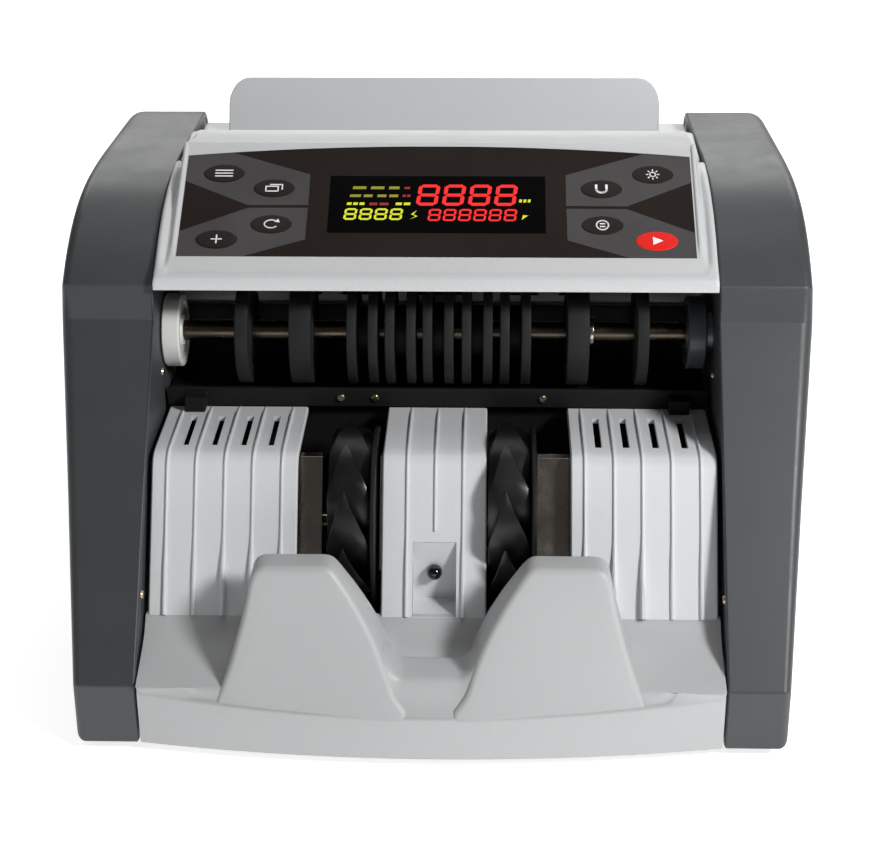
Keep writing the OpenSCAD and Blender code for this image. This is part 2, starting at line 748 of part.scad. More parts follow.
// A black pan under the front of the head, hung from the cover's side walls
module head_chassis() {
    color(black_plastic) place() difference() {
        slab(wall - half_fit, half_fit - wall) polygon([[92.4, 147.4], [92.4, 149.4], [148, 153.4], [148, 151.4]]);
        for (x = [-18, 18]) box(x - 3, x + 3, 96, 104, 140, 160);
    }
}

module head_hinge_pins() {
    color(steel) place() both_sides() rod(hinge_c, hinge_pin_r, rear_half - wall - 1, frame_x1);
}

// ---------- electrics ----------

module main_board() {
    color("#2e5a3a") place() {
        box(-42, 14, 92, 220, 8, 9.6);
        for (x = [-38, 10], y = [96, 216]) translate([x, y, base_t]) cylinder(r = 2.5, h = 8 - base_t);
        box(-30, -8, 120, 142, 9.6, 12);
        box(-38, -30, 160, 206, 9.6, 30);
        for (y = [150, 166, 182]) translate([0, y, 9.6]) cylinder(r = 6, h = 20);
        box(4, 12, 96, 116, 9.6, 20);
    }
}

module transformer() {
    color(copper) place() {
        box(24, 84, 170, 206, base_t + 9, base_t + 41);
        box(30, 78, 164, 212, base_t + 16, base_t + 34);
        for (x = [24, 78]) box(x, x + 6, 172, 204, base_t, base_t + 9);
    }
}

// The mains inlet, the switch housing and the fuse holder in the rear cover
module power_sockets() {
    color(black_plastic) place() {
        translate([socket_c[0], 0, socket_c[1]]) difference() {
            union() {
                box(-13.9, 13.9, rear_y - 18, rear_y + wall, -10.4, 10.4);
                box(-16, 16, rear_y + wall, rear_y + wall + 1.6, -12.4, 12.4);
            }
            box(-12, 12, rear_y - 14, rear_y + 6, -8, 8);
        }
        for (x = [-7, 0, 7]) box(socket_c[0] + x - 1, socket_c[0] + x + 1, rear_y - 14.2, rear_y - 1,
            socket_c[1] - 2, socket_c[1] + 2);
        translate([switch_c[0], 0, switch_c[1]]) difference() {
            union() {
                box(-7.1, 7.1, rear_y - 16, rear_y + wall, -10.3, 10.3);
                box(-9, 9, rear_y + wall, rear_y + wall + 1.4, -12.2, 12.2);
            }
            box(-5.4, 5.4, rear_y - 10, rear_y + 6, -8.6, 8.6);
            rod([rear_y - 1, 0], 1.2 + running, -6.4, 6.4);
        }
        translate([fuse_c[0], 0, fuse_c[1]]) rotate([-90, 0, 0]) {
            translate([0, 0, rear_y - 20]) cylinder(r = 6.1, h = 20 + wall);
            translate([0, 0, rear_y + wall]) cylinder(r = 8, h = 2);
            translate([0, 0, rear_y + wall + 2]) cylinder(r = 5, h = 2.4);
        }
    }
}

// The rocker of the mains switch, at rest with its lower end out
rocker_tilt = 9;
module switch_rocker() {
    color(black_plastic) place() translate([switch_c[0], rear_y - 1, switch_c[1]]) {
        rotate([rocker_tilt, 0, 0]) slab(-5, 5) polygon([[-4, -3], [3.2, -7.4], [5.6, -7.4], [4.6, 0], [5.6, 7.4],
            [3.2, 7.4], [-4, 3]]);
        rod([0, 0], 1.2, -6.2, 6.2);
    }
}

// Screws that can be seen: in the frame plates, at the note path and at the rear
frame_screw_places = [[27.6, 47], [108.6, 93.2], [100.4, 106]];
module screw_head(r, h) { cylinder(r1 = r, r2 = r * 0.8, h = h, $fn = 24); }

module machine_screws() {
    color("#b69a5a") place() {
        both_sides() for (p = frame_screw_places)
            translate([frame_x0, p[0], p[1]]) rotate([0, -90, 0]) screw_head(1.9, 0.9);
        for (x = [-95, -30, 30, 95]) translate([x, rear_y + wall, 150])
            rotate([-90, 0, 0]) screw_head(3, 1.6);
        for (x = [-95, 95]) translate([x, rear_y + wall, 12]) rotate([-90, 0, 0]) screw_head(3, 1.6);
        for (x = [-38, -24.5, 42]) translate([x, 102.1, 94.6]) rotate([90, 0, 0]) screw_head(1.7, 1);
    }
}

base_plate();
left_side_cover();
right_side_cover();
left_frame_plate();
right_frame_plate();
tie_rods();
rear_cover();
rubber_feet();
stacker_tray();
stacker_back_plate();
throat_plate();
lower_guide();
hopper_plate();
hopper_front();
head_cover();
head_chassis();
keypad_film();
display_window();
display_module();
key_boards();
stack_key();
double_key();
auto_key();
add_key();
lamp_key();
magnet_key();
value_key();
start_key();
head_hinge_pins();
feed_shaft();
feed_rollers();
feed_end_discs();
feed_gear();
shaft_bearings();
pickup_shaft();
pickup_rollers();
pickup_pulley();
pickup_gear();
drive_belt();
stack_sensor();
main_motor();
main_motor_pulley();
stacker_shaft();
left_impeller();
right_impeller();
stacker_pulley();
switch_rocker();
stacker_belt();
stacker_motor();
stacker_motor_pulley();
retard_bracket();
gap_knob();
retard_bridge();
left_note_guide();
right_note_guide();
guide_rail();
main_board();
transformer();
power_sockets();
machine_screws();
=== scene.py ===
"""Looks of the banknote counting machine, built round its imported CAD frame.

Shapes are given in millimetres in the side view of the casing: x across, y back from the front
corner of the side covers, z up from the underside of the casing. at() turns them into the frame.
"""

import json
import math

import bmesh
import bpy
from mathutils import Matrix, Vector

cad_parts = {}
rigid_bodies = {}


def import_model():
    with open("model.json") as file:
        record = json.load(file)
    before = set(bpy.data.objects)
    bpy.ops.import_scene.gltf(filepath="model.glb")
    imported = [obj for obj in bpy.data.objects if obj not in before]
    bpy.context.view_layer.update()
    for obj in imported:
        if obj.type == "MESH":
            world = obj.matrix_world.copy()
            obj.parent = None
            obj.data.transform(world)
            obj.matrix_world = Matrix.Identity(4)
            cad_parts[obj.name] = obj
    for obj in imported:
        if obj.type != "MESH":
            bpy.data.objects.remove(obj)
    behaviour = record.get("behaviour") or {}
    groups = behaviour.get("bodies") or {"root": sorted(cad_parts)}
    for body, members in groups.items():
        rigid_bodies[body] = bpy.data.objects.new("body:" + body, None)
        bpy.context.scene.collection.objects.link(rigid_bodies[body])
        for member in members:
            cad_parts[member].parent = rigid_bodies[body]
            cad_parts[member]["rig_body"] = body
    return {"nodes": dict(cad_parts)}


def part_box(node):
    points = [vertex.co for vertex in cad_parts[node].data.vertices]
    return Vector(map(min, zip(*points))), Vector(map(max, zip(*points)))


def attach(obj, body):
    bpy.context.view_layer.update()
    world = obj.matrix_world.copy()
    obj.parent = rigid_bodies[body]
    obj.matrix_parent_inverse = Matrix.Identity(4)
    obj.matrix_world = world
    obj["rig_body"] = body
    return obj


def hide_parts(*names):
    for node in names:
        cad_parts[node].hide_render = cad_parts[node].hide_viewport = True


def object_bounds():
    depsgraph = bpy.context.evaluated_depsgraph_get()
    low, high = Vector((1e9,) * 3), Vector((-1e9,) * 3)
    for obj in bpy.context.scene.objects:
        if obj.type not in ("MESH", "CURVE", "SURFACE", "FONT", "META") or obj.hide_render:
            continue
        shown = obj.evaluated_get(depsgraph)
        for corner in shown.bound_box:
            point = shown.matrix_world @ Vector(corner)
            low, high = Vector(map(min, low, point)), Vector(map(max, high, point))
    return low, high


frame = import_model()
cad_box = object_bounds()
nodes = frame["nodes"]

MM = 0.001
BASE_PLATE_FRONT = 8
casing_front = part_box("base_plate")[0].y - BASE_PLATE_FRONT * MM
casing_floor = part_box("base_plate")[0].z


def at(x, y, z):
    """A point of the side view, in the frame, in metres."""
    return Vector((x * MM, casing_front + y * MM, casing_floor + z * MM))


# ---------- camera, lights, floor ----------

CAMERA_PLACE = (0.01994, -0.6903, 0.4008)
CAMERA_PITCH, CAMERA_YAW, CAMERA_ROLL = 25.0, 1.70, -0.33
CAMERA_LENS, SENSOR_WIDTH = 76.2, 36
WORLD_LIGHT, FLOOR_GLOW = 0.09, 0.75
FLOOR_HALF, FLOOR_GAP = 9, 0.0002


def make_camera():
    """The camera, set from its place and its three angles."""
    pitch, yaw, roll = (math.radians(a) for a in (CAMERA_PITCH, CAMERA_YAW, CAMERA_ROLL))
    forward = Vector((-math.sin(yaw) * math.cos(pitch), math.cos(yaw) * math.cos(pitch), -math.sin(pitch)))
    level = Vector((math.cos(yaw), math.sin(yaw), 0))
    down = forward.cross(level)
    right = level * math.cos(roll) - down * math.sin(roll)
    up = -(level * math.sin(roll) + down * math.cos(roll))
    camera = bpy.data.objects.new("camera", bpy.data.cameras.new("camera"))
    bpy.context.scene.collection.objects.link(camera)
    turn = Matrix((right, up, -forward)).transposed()
    camera.matrix_world = Matrix.Translation(CAMERA_PLACE) @ turn.to_4x4()
    camera.data.lens = CAMERA_LENS
    camera.data.sensor_width = SENSOR_WIDTH
    camera.data.clip_start = 0.01
    bpy.context.scene.camera = camera


def area_light(name, place, target, size, watts):
    data = bpy.data.lights.new(name, "AREA")
    data.shape = "RECTANGLE"
    data.size, data.size_y = size
    data.energy = watts
    light = bpy.data.objects.new(name, data)
    bpy.context.scene.collection.objects.link(light)
    light.location = place
    light.rotation_mode = "QUATERNION"
    light.rotation_quaternion = (Vector(target) - Vector(place)).to_track_quat("-Z", "Y")


def make_studio():
    world = bpy.data.worlds.new("studio")
    world.use_nodes = True
    background = world.node_tree.nodes["Background"]
    background.inputs["Color"].default_value = (1, 1, 1, 1)
    background.inputs["Strength"].default_value = WORLD_LIGHT
    bpy.context.scene.world = world
    bpy.context.scene.view_settings.view_transform = "Standard"
    middle = (0, 0, 0.08)
    area_light("overhead", (0.0, 0.35, 1.3), middle, (1.0, 0.5), 2.8)
    area_light("key", (0.66, -0.6, 0.7), middle, (0.18, 0.18), 8.6)
    area_light("back_wall", (0.0, 2.0, 1.1), middle, (2.6, 1.0), 26)


# ---------- mesh helpers ----------

def link(name, mesh):
    obj = bpy.data.objects.new(name, mesh)
    bpy.context.scene.collection.objects.link(obj)
    return obj


def mark_sharp(bm, degrees):
    """Smooth faces, with a sharp edge wherever two faces meet at more than the angle."""
    limit = math.radians(degrees)
    for face in bm.faces:
        face.smooth = True
    for edge in bm.edges:
        edge.smooth = len(edge.link_faces) == 2 and edge.calc_face_angle(0) < limit


def mesh_of(points, faces, sharp=40):
    """A mesh of side view points, with its faces turned outwards."""
    bm = bmesh.new()
    made = [bm.verts.new(at(*p)) for p in points]
    for face in faces:
        bm.faces.new([made[i] for i in face])
    bmesh.ops.remove_doubles(bm, verts=bm.verts, dist=1e-6)
    bmesh.ops.recalc_face_normals(bm, faces=bm.faces)
    mark_sharp(bm, sharp)
    mesh = bpy.data.meshes.new("mesh")
    bm.to_mesh(mesh)
    bm.free()
    return mesh


def round_edges(obj, width, segments=2, degrees=30):
    """Breaks the edges that are sharper than the angle, and keeps flat faces flat to the light."""
    bevel = obj.modifiers.new("bevel", "BEVEL")
    bevel.width = width * MM
    bevel.segments = segments
    bevel.limit_method = "ANGLE"
    bevel.angle_limit = math.radians(degrees)
    bevel.use_clamp_overlap = True
    bevel.miter_outer = "MITER_ARC"
    smooth = obj.modifiers.new("normals", "WEIGHTED_NORMAL")
    smooth.keep_sharp = True


def finish_piece(obj, material, body, replaced=()):
    """Gives a piece its material and its body, and hides the CAD nodes that it stands for."""
    obj.data.materials.clear()
    obj.data.materials.append(material)
    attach(obj, body)
    if replaced:
        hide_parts(*replaced)
    return obj


def piece(name, points, faces, material, body, replaced=(), sharp=40):
    """A piece made of side view points."""
    return finish_piece(link(name, mesh_of(points, faces, sharp)), material, body, replaced)


WELD, SAME_PLANE, SMOOTH_BELOW = 2e-6, 0.6, 32


def refined(node, material, bevel=0.4, joined=True):
    """Stands for a CAD node: the same shape with broken edges and smooth curves.

    joined also makes one face of the triangles that lie in one plane.
    """
    source = nodes[node]
    bm = bmesh.new()
    bm.from_mesh(source.data)
    bmesh.ops.remove_doubles(bm, verts=bm.verts, dist=WELD)
    if joined:
        bmesh.ops.dissolve_limit(bm, angle_limit=math.radians(SAME_PLANE), verts=bm.verts, edges=bm.edges,
                                 use_dissolve_boundaries=False)
    mark_sharp(bm, SMOOTH_BELOW)
    mesh = bpy.data.meshes.new(node)
    bm.to_mesh(mesh)
    bm.free()
    obj = link("look_" + node, mesh)
    if bevel:
        round_edges(obj, bevel)
    return finish_piece(obj, material, source["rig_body"], [node])


def strips(rows, closed=False):
    """Faces that join equal rows of points, numbered row by row."""
    wide = len(rows[0])
    faces = []
    for r in range(len(rows) - 1):
        for c in range(wide if closed else wide - 1):
            d = (c + 1) % wide
            faces.append((r * wide + c, r * wide + d, (r + 1) * wide + d, (r + 1) * wide + c))
    return faces


def caps(rows):
    """Two faces that fill the first and the last of equal closed rows."""
    wide = len(rows[0])
    last = (len(rows) - 1) * wide
    return [tuple(range(wide)), tuple(last + c for c in reversed(range(wide)))]


def flat(rows):
    return [p for row in rows for p in row]


def lathe(name, centre, profile, material, body, replaced=(), steps=64, sharp=35):
    """A solid turned about the X axis through centre; the profile is a closed loop of (x, radius)."""
    rows = []
    for i in range(steps):
        a = 2 * math.pi * i / steps
        rows.append([(x, centre[0] + r * math.cos(a), centre[1] + r * math.sin(a)) for x, r in profile])
    rows.append(rows[0])
    return piece(name, flat(rows), strips(rows, closed=True), material, body, replaced, sharp)


def round_corner(edge):
    """A quarter circle as (step along X, drop in radius)."""
    angles = [math.radians(d) for d in (0, 30, 60, 90)]
    return [(edge * (1 - math.cos(a)), edge * (1 - math.sin(a))) for a in angles]


def disc_profile(x0, x1, outer, inner, edge):
    """The closed profile of a turned ring with rounded outer corners."""
    corner = round_corner(edge)
    left = [(x0 + dx, outer - dr) for dx, dr in corner]
    right = [(x1 - dx, outer - dr) for dx, dr in reversed(corner)]
    return [(x0, inner)] + left + right + [(x1, inner)]


def lerp_line(line, t):
    """The second value of a line of (t, value) pairs at t."""
    if t <= line[0][0]:
        return line[0][1]
    for (t0, v0), (t1, v1) in zip(line, line[1:]):
        if t <= t1:
            return v0 + (v1 - v0) * (t - t0) / (t1 - t0)
    return line[-1][1]


def smooth_step(t):
    t = min(max(t, 0), 1)
    return t * t * (3 - 2 * t)


# ---------- materials ----------

def rgb(hex_colour):
    """Linear colour of a hex string."""
    parts = [int(hex_colour[i:i + 2], 16) / 255 for i in (1, 3, 5)]
    return tuple(c / 12.92 if c <= 0.04045 else ((c + 0.055) / 1.055) ** 2.4 for c in parts) + (1,)


class Nodes:
    """Builds one material's node tree."""

    def __init__(self, name):
        self.material = bpy.data.materials.new(name)
        self.material.use_nodes = True
        self.tree = self.material.node_tree
        self.shader = self.tree.nodes["Principled BSDF"]
        self.place = self.tree.nodes.new("ShaderNodeTexCoord").outputs["Object"]

    def join(self, out, to):
        self.tree.links.new(out, to)

    def noise(self, scale, detail=3.0, rough=0.6, stretch=(1, 1, 1)):
        mapping = self.tree.nodes.new("ShaderNodeMapping")
        mapping.inputs["Scale"].default_value = stretch
        self.join(self.place, mapping.inputs["Vector"])
        node = self.tree.nodes.new("ShaderNodeTexNoise")
        node.inputs["Scale"].default_value = scale
        node.inputs["Detail"].default_value = detail
        node.inputs["Roughness"].default_value = rough
        self.join(mapping.outputs["Vector"], node.inputs["Vector"])
        return node.outputs["Fac"]

    def range(self, value, low, high, start=0.3, end=0.7):
        node = self.tree.nodes.new("ShaderNodeMapRange")
        self.join(value, node.inputs["Value"])
        node.inputs["From Min"].default_value = start
        node.inputs["From Max"].default_value = end
        node.inputs["To Min"].default_value = low
        node.inputs["To Max"].default_value = high
        return node.outputs["Result"]

    def mix(self, factor, a, b):
        node = self.tree.nodes.new("ShaderNodeMix")
        node.data_type = "RGBA"
        self.join(factor, node.inputs["Factor"])
        for socket, colour in ((node.inputs[6], a), (node.inputs[7], b)):
            if isinstance(colour, tuple):
                socket.default_value = colour
            else:
                self.join(colour, socket)
        return node.outputs[2]

    def bump(self, height, strength, distance, below=None):
        node = self.tree.nodes.new("ShaderNodeBump")
        node.inputs["Strength"].default_value = strength
        node.inputs["Distance"].default_value = distance * MM
        self.join(height, node.inputs["Height"])
        if below:
            self.join(below, node.inputs["Normal"])
        return node.outputs["Normal"]


def shade(colour, factor):
    return tuple(min(c * factor, 1) for c in colour[:3]) + (1,)


def moulded(name, hex_colour, rough=(0.38, 0.5), grain=2600, grain_depth=0.03, drift=0.08, level=0.5):
    """Moulded plastic: a fine spark-eroded grain, a slow drift of tone and a faint bloom of dust."""
    n = Nodes(name)
    colour = rgb(hex_colour)
    slow = n.range(n.noise(9, 2), 0, 1)
    specks = n.range(n.noise(900, 2), 0, 1, 0.35, 0.75)
    toned = n.mix(slow, shade(colour, 1 - drift), shade(colour, 1 + drift))
    n.join(n.mix(specks, toned, shade(colour, 1 + drift)), n.shader.inputs["Base Color"])
    n.join(n.range(n.noise(60, 4), rough[0], rough[1]), n.shader.inputs["Roughness"])
    fine = n.bump(n.noise(grain, 2, 0.7), 0.35, grain_depth)
    n.join(n.bump(n.noise(26, 2), 0.06, 0.6, fine), n.shader.inputs["Normal"])
    n.shader.inputs["Specular IOR Level"].default_value = level
    return n.material


def rubber(name, hex_colour):
    """Rubber that has worn matt, with fine scuffs round it and a little paper dust."""
    n = Nodes(name)
    colour = rgb(hex_colour)
    dust = n.range(n.noise(240, 4), 0, 0.5, 0.45, 0.8)
    n.join(n.mix(dust, colour, shade(colour, 2.2)), n.shader.inputs["Base Color"])
    n.join(n.range(n.noise(120, 3), 0.6, 0.85), n.shader.inputs["Roughness"])
    n.join(n.bump(n.noise(1500, 3, 0.7, (4, 1, 1)), 0.5, 0.05), n.shader.inputs["Normal"])
    n.shader.inputs["Specular IOR Level"].default_value = 0.35
    return n.material


def metal(name, hex_colour, rough=(0.18, 0.34), stretch=(0.05, 1, 1), scale=1400):
    """Drawn or rolled metal with fine lines along X and a few cloudy marks."""
    n = Nodes(name)
    colour = rgb(hex_colour)
    clouds = n.range(n.noise(45, 4), 0, 1)
    n.join(n.mix(clouds, shade(colour, 0.86), shade(colour, 1.08)), n.shader.inputs["Base Color"])
    n.join(n.range(n.noise(80, 4), rough[0], rough[1]), n.shader.inputs["Roughness"])
    n.join(n.bump(n.noise(scale, 2, 0.6, stretch), 0.3, 0.02), n.shader.inputs["Normal"])
    n.shader.inputs["Metallic"].default_value = 1
    return n.material


def lit(name, hex_colour, strength):
    """A lit part of the display: its light is a little uneven over its length."""
    n = Nodes(name)
    colour = rgb(hex_colour)
    n.shader.inputs["Base Color"].default_value = shade(colour, 0.2)
    glow = n.mix(n.range(n.noise(700, 2), 0, 1), shade(colour, 0.85), colour)
    n.join(glow, n.shader.inputs["Emission Color"])
    n.shader.inputs["Emission Strength"].default_value = strength
    return n.material


def glassy(name, hex_colour, rough=(0.04, 0.1), coat=0.0, level=0.5):
    """A glossy moulded surface with faint wipe marks."""
    n = Nodes(name)
    colour = rgb(hex_colour)
    n.join(n.mix(n.range(n.noise(30, 3), 0, 1), colour, shade(colour, 1.25)), n.shader.inputs["Base Color"])
    n.join(n.range(n.noise(18, 4), rough[0], rough[1]), n.shader.inputs["Roughness"])
    n.join(n.bump(n.noise(70, 2), 0.05, 0.3), n.shader.inputs["Normal"])
    n.shader.inputs["Coat Weight"].default_value = coat
    n.shader.inputs["Specular IOR Level"].default_value = level
    return n.material


def paper_floor():
    """A plain pale floor that glows a little, as a lit paper sweep does."""
    n = Nodes("floor_paper")
    n.join(n.mix(n.range(n.noise(3, 2), 0, 1), rgb("#f6f6f6"), rgb("#fbfbfb")), n.shader.inputs["Base Color"])
    n.shader.inputs["Roughness"].default_value = 0.9
    n.shader.inputs["Specular IOR Level"].default_value = 0.1
    n.shader.inputs["Emission Color"].default_value = (1, 1, 1, 1)
    n.shader.inputs["Emission Strength"].default_value = FLOOR_GLOW
    return n.material


grey_case = moulded("grey_moulding", "#3e4143", (0.4, 0.5), 2400, 0.04)
wall_grey = moulded("inner_wall", "#3f4244", (0.45, 0.6), 2400, 0.05)
light_case = moulded("light_moulding", "#cbcccd", (0.34, 0.46), 3000, 0.02, 0.03)
pale_grey = moulded("pale_moulding", "#d6d8da", (0.36, 0.48), 3000, 0.02, 0.03)
tray_grey = moulded("tray_moulding", "#b4b5b6", (0.4, 0.52), 3000, 0.02, 0.03)
black_plastic = moulded("black_moulding", "#0d0d0e", (0.4, 0.6), 1800, 0.04, 0.15, 0.3)
guide_black = moulded("guide_moulding", "#151515", (0.5, 0.65), 1800, 0.04, 0.2, 0.25)
vane_black = moulded("vane_moulding", "#0d0d0e", (0.3, 0.46), 1500, 0.03, 0.2)
film_black = glassy("film_black", "#1f1714", (0.42, 0.55), level=0.12)
film_grey = glassy("film_grey", "#494647", (0.42, 0.55), level=0.12)
film_white = glassy("film_white", "#f4f4f4", (0.42, 0.55), level=0.12)
screen_black = glassy("screen_black", "#020203", (0.3, 0.4), level=0.02)
key_grey = glassy("key_grey", "#241c1a", (0.4, 0.5), level=0.14)
key_red = glassy("key_red", "#e0231c", (0.4, 0.5), level=0.14)
feed_rubber = rubber("feed_rubber", "#181919")
foot_rubber = rubber("foot_rubber", "#1b1b1c")
belt_rubber = rubber("belt_rubber", "#202122")
white_nylon = moulded("white_nylon", "#e2e2de", (0.3, 0.42), 1500, 0.02, 0.03)
# Painted shade: a dark copy of the white nylon, used on the right end disc for the head's shadow over it
nylon_painted_shade = moulded("nylon_painted_shade", "#45474a", (0.3, 0.42), 1500, 0.02, 0.08)
bright_steel = metal("bright_steel", "#b9b0a2", (0.14, 0.26))
worn_steel = metal("worn_steel", "#5c5448", (0.22, 0.36))
mirror_steel = metal("mirror_steel", "#a59c93", (0.16, 0.34), (1, 0.05, 1))
zinc_steel = metal("zinc_steel", "#85888b", (0.32, 0.5), (1, 1, 0.1))
brass = metal("brass", "#cdbf9f", (0.22, 0.36))
board_green = glassy("board_green", "#1e4a2c", (0.3, 0.45))
lens_dark = glassy("lens_dark", "#050507", (0.03, 0.07), 0.6)
lit_red = lit("lit_red", "#ff1414", 1.0)
lit_yellow = lit("lit_yellow", "#dce61c", 0.9)
dim_red = lit("dim_red", "#a81214", 0.7)
dim_yellow = lit("dim_yellow", "#a39a18", 0.7)

# ---------- side covers and frame ----------

INNER_X, RIM = 108.0, 2.4
HOOD_TOP, HOOD_Y, HOOD_Z, HOOD_FLAT_Y = 172.6, 91.7, 146.1, 185.0
HOOD_CURVE, HOOD_FALL, HOOD_X = 3.2, 1.1, 143.6
FOOT_X, MID_X, BROW_X = 131.3, 137.6, 144.2
FOOT_EDGE, MID_EDGE, BROW_EDGE, REAR_EDGE = 3.4, 4.4, 5.3, 8
REAR_Y = 255.0


def hood_edge(y):
    """The hood's edge radius, which grows towards the rear."""
    return 4 + 4 * (y - HOOD_Y) / (REAR_Y - HOOD_Y)


def cover_outline():
    """The cover's side view as (y, z, outer x, edge radius), from the toe up the front and round."""
    line = [(0, 0, FOOT_X, FOOT_EDGE), (0.8, 23.9, FOOT_X, FOOT_EDGE), (45.4, 79.2, MID_X, MID_EDGE),
            (88.6, 132.8, BROW_X, BROW_EDGE)]
    length = HOOD_FLAT_Y - HOOD_Y
    for k in range(23):
        y = HOOD_Y + length * k / 22
        z = HOOD_TOP - (HOOD_TOP - HOOD_Z) * ((HOOD_FLAT_Y - y) / length) ** HOOD_CURVE
        line.append((y, z, HOOD_X, hood_edge(y)))
    for k in range(1, 5):
        y = HOOD_FLAT_Y + 55 * k / 4
        line.append((y, HOOD_TOP - HOOD_FALL * k / 4, HOOD_X, hood_edge(y)))
    corner_y, corner_z = HOOD_FLAT_Y + 58, HOOD_TOP - 12.6
    for k in range(7):
        a = math.radians(8 + 13 * k)
        line.append((corner_y + 10.8 * math.sin(a), corner_z + 11.4 * math.cos(a), HOOD_X, REAR_EDGE))
    line += [(REAR_Y, 133, BROW_X, BROW_EDGE), (REAR_Y, 0, FOOT_X, FOOT_EDGE)]
    return line


def make_cover(side, node):
    """A side cover as rings of its outline: a lip round the channel wall, then the rounded edge."""
    line = cover_outline()
    n = len(line)
    corner = []
    for i in range(n):
        (ya, za), (y, z), (yb, zb) = line[i - 1][:2], line[i][:2], line[(i + 1) % n][:2]
        first, second = math.hypot(y - ya, z - za), math.hypot(yb - y, zb - z)
        m = ((z - za) / first, -(y - ya) / first)
        k = ((zb - z) / second, -(yb - y) / second)
        scale = 1 + m[0] * k[0] + m[1] * k[1]
        corner.append(((m[0] + k[0]) / scale, (m[1] + k[1]) / scale))

    def ring(offset, x_of):
        return [(side * x_of(x, r), y + c[0] * offset(r), z + c[1] * offset(r))
                for (y, z, x, r), c in zip(line, corner)]

    lip = ((RIM + 0.2, 2.4), (RIM + 0.2, 0), (0.7, 0), (0.2, 0.2), (0, 0.7))
    rows = [ring(lambda r, inset=inset: inset, lambda x, r, out=out: INNER_X + out) for inset, out in lip]
    for k in range(8):
        a = math.radians(90 * k / 7)
        rows.append(ring(lambda r, a=a: r * (1 - math.cos(a)), lambda x, r, a=a: x - r + r * math.sin(a)))
    faces = strips(rows, closed=True)
    last = (len(rows) - 1) * n
    brow, waist = 3, n - 2
    faces.append(tuple(last + k for k in list(range(0, brow + 1)) + [waist, n - 1]))
    faces.append(tuple(last + k for k in range(brow, waist + 1)))
    obj = piece(node + "_look", flat(rows), faces, grey_case, "chassis", [node], sharp=30)
    round_edges(obj, 0.7, 3, 24)


make_cover(1, "right_side_cover")
make_cover(-1, "left_side_cover")
for node in ("left_frame_plate", "right_frame_plate"):
    refined(node, wall_grey, 0.3)
refined("base_plate", zinc_steel, 0.2)
refined("tie_rods", zinc_steel, 0.3)
refined("rear_cover", light_case, 0.2, joined=False)
refined("rubber_feet", foot_rubber, 0.4)
refined("machine_screws", brass, 0.15)

# ---------- front tray ----------

HALF_TRAY = 107.3
LIP_BULGE = 9
LIP_RADIUS = (INNER_X ** 2 + LIP_BULGE ** 2) / (2 * LIP_BULGE)
LIP_TOP, LIP_CORNER_RISE = 17.9, 4.4
CHANNEL_HALF, CHANNEL_DIP = 19, 1.9


def lip_front(x):
    """How far back the bowed front of the lip is at x."""
    return LIP_RADIUS - LIP_BULGE - math.sqrt(LIP_RADIUS ** 2 - x * x)


def make_tray():
    """The tray from its lip to its rear edge, with a shallow channel down the middle."""
    rows = []
    columns = 72
    for i in range(columns + 1):
        x = HALF_TRAY * (2 * i / columns - 1)
        y = lip_front(x)
        top = LIP_TOP + LIP_CORNER_RISE * (x / HALF_TRAY) ** 2
        band = (y + 1.6, top + 0.15)
        rear = (-1.0, 25.0)
        if band[0] > rear[0] - 0.6:
            band = (rear[0] - 0.6 + 0.5 * (band[0] - rear[0] + 0.6), 24.6)
        mid = ((band[0] + rear[0]) / 2, (band[1] + rear[1]) / 2 + 0.25)
        path = [(y + 2.4, 0.3), (y, 0.3), (y, top - 1.3), (y + 0.1, top - 0.75), (y + 0.42, top - 0.28),
                    band, mid, (rear[0] - 0.3, rear[1] - 0.15), (rear[0] + 0.5, rear[1] + 0.4),
                    (3.6, 26.7), (8.3, 28.2), (12.7, 29.6), (17.0, 31.1), (20.6, 32.8), (23.6, 34.8),
                    (25.6, 36.7), (26.9, 38.3), (29.6, 38.6), (27.0, 34.5), (21.5, 30.4), (12.7, 26.9),
                    (3.6, 24.0), (y + 3.6, top - 2.2), (y + 2.6, top - 4.4)]
        dip = CHANNEL_DIP * smooth_step((CHANNEL_HALF - abs(x)) / 4)
        rows.append([(x, py, pz - dip * smooth_step((py - 3) / 9) * smooth_step((25.5 - py) / 8))
                     for py, pz in path])
    faces = strips(rows, closed=True) + caps(rows)
    piece("tray_body", flat(rows), faces, tray_grey, "chassis", ["stacker_tray"], sharp=50)


TOOTH_TOP, TOOTH_FOOT, TOOTH_BACK, TOOTH_LEAN = 69.5, 18, 20.5, 9.0
TOOTH_EDGE, TOOTH_REAR_EDGE = 2.1, 1.6
# Front view of the right note stop: up its inner side, over the top and down its outer side
TOOTH_LINE = [(8.2, 16.8), (8.6, 19.6), (10.0, 21.4), (12.0, 24.0), (13.6, 27.2), (15.0, 31.5),
              (17.6, 38.5), (20.7, 45.7), (24.3, 52.4), (28.2, 58.8), (31.2, 63.2), (33.6, 66.6),
              (35.6, 68.6), (38.2, TOOTH_TOP), (44, TOOTH_TOP), (52, TOOTH_TOP), (58.6, TOOTH_TOP),
              (61.6, 68.9), (63.6, 67.3), (64.7, 64.8), (65.7, 60.6), (66.8, 55.3), (68.3, 49.4),
              (69.9, 43.8), (71.8, 37.4), (73.8, 31.4), (75.8, 26.2), (77.6, 22.0), (79.6, 17.0)]


def smooth_line(line, cuts=3):
    """A Catmull-Rom curve through the points of an open line."""
    out = []
    for i in range(len(line) - 1):
        p = [line[max(i - 1, 0)], line[i], line[i + 1], line[min(i + 2, len(line) - 1)]]
        for k in range(cuts):
            t = k / cuts
            out.append(tuple(0.5 * (2 * b + (c - a) * t + (2 * a - 5 * b + 4 * c - d) * t * t
                                    + (3 * b - a - 3 * c + d) * t ** 3) for a, b, c, d in zip(*p)))
    return out + [line[-1]]


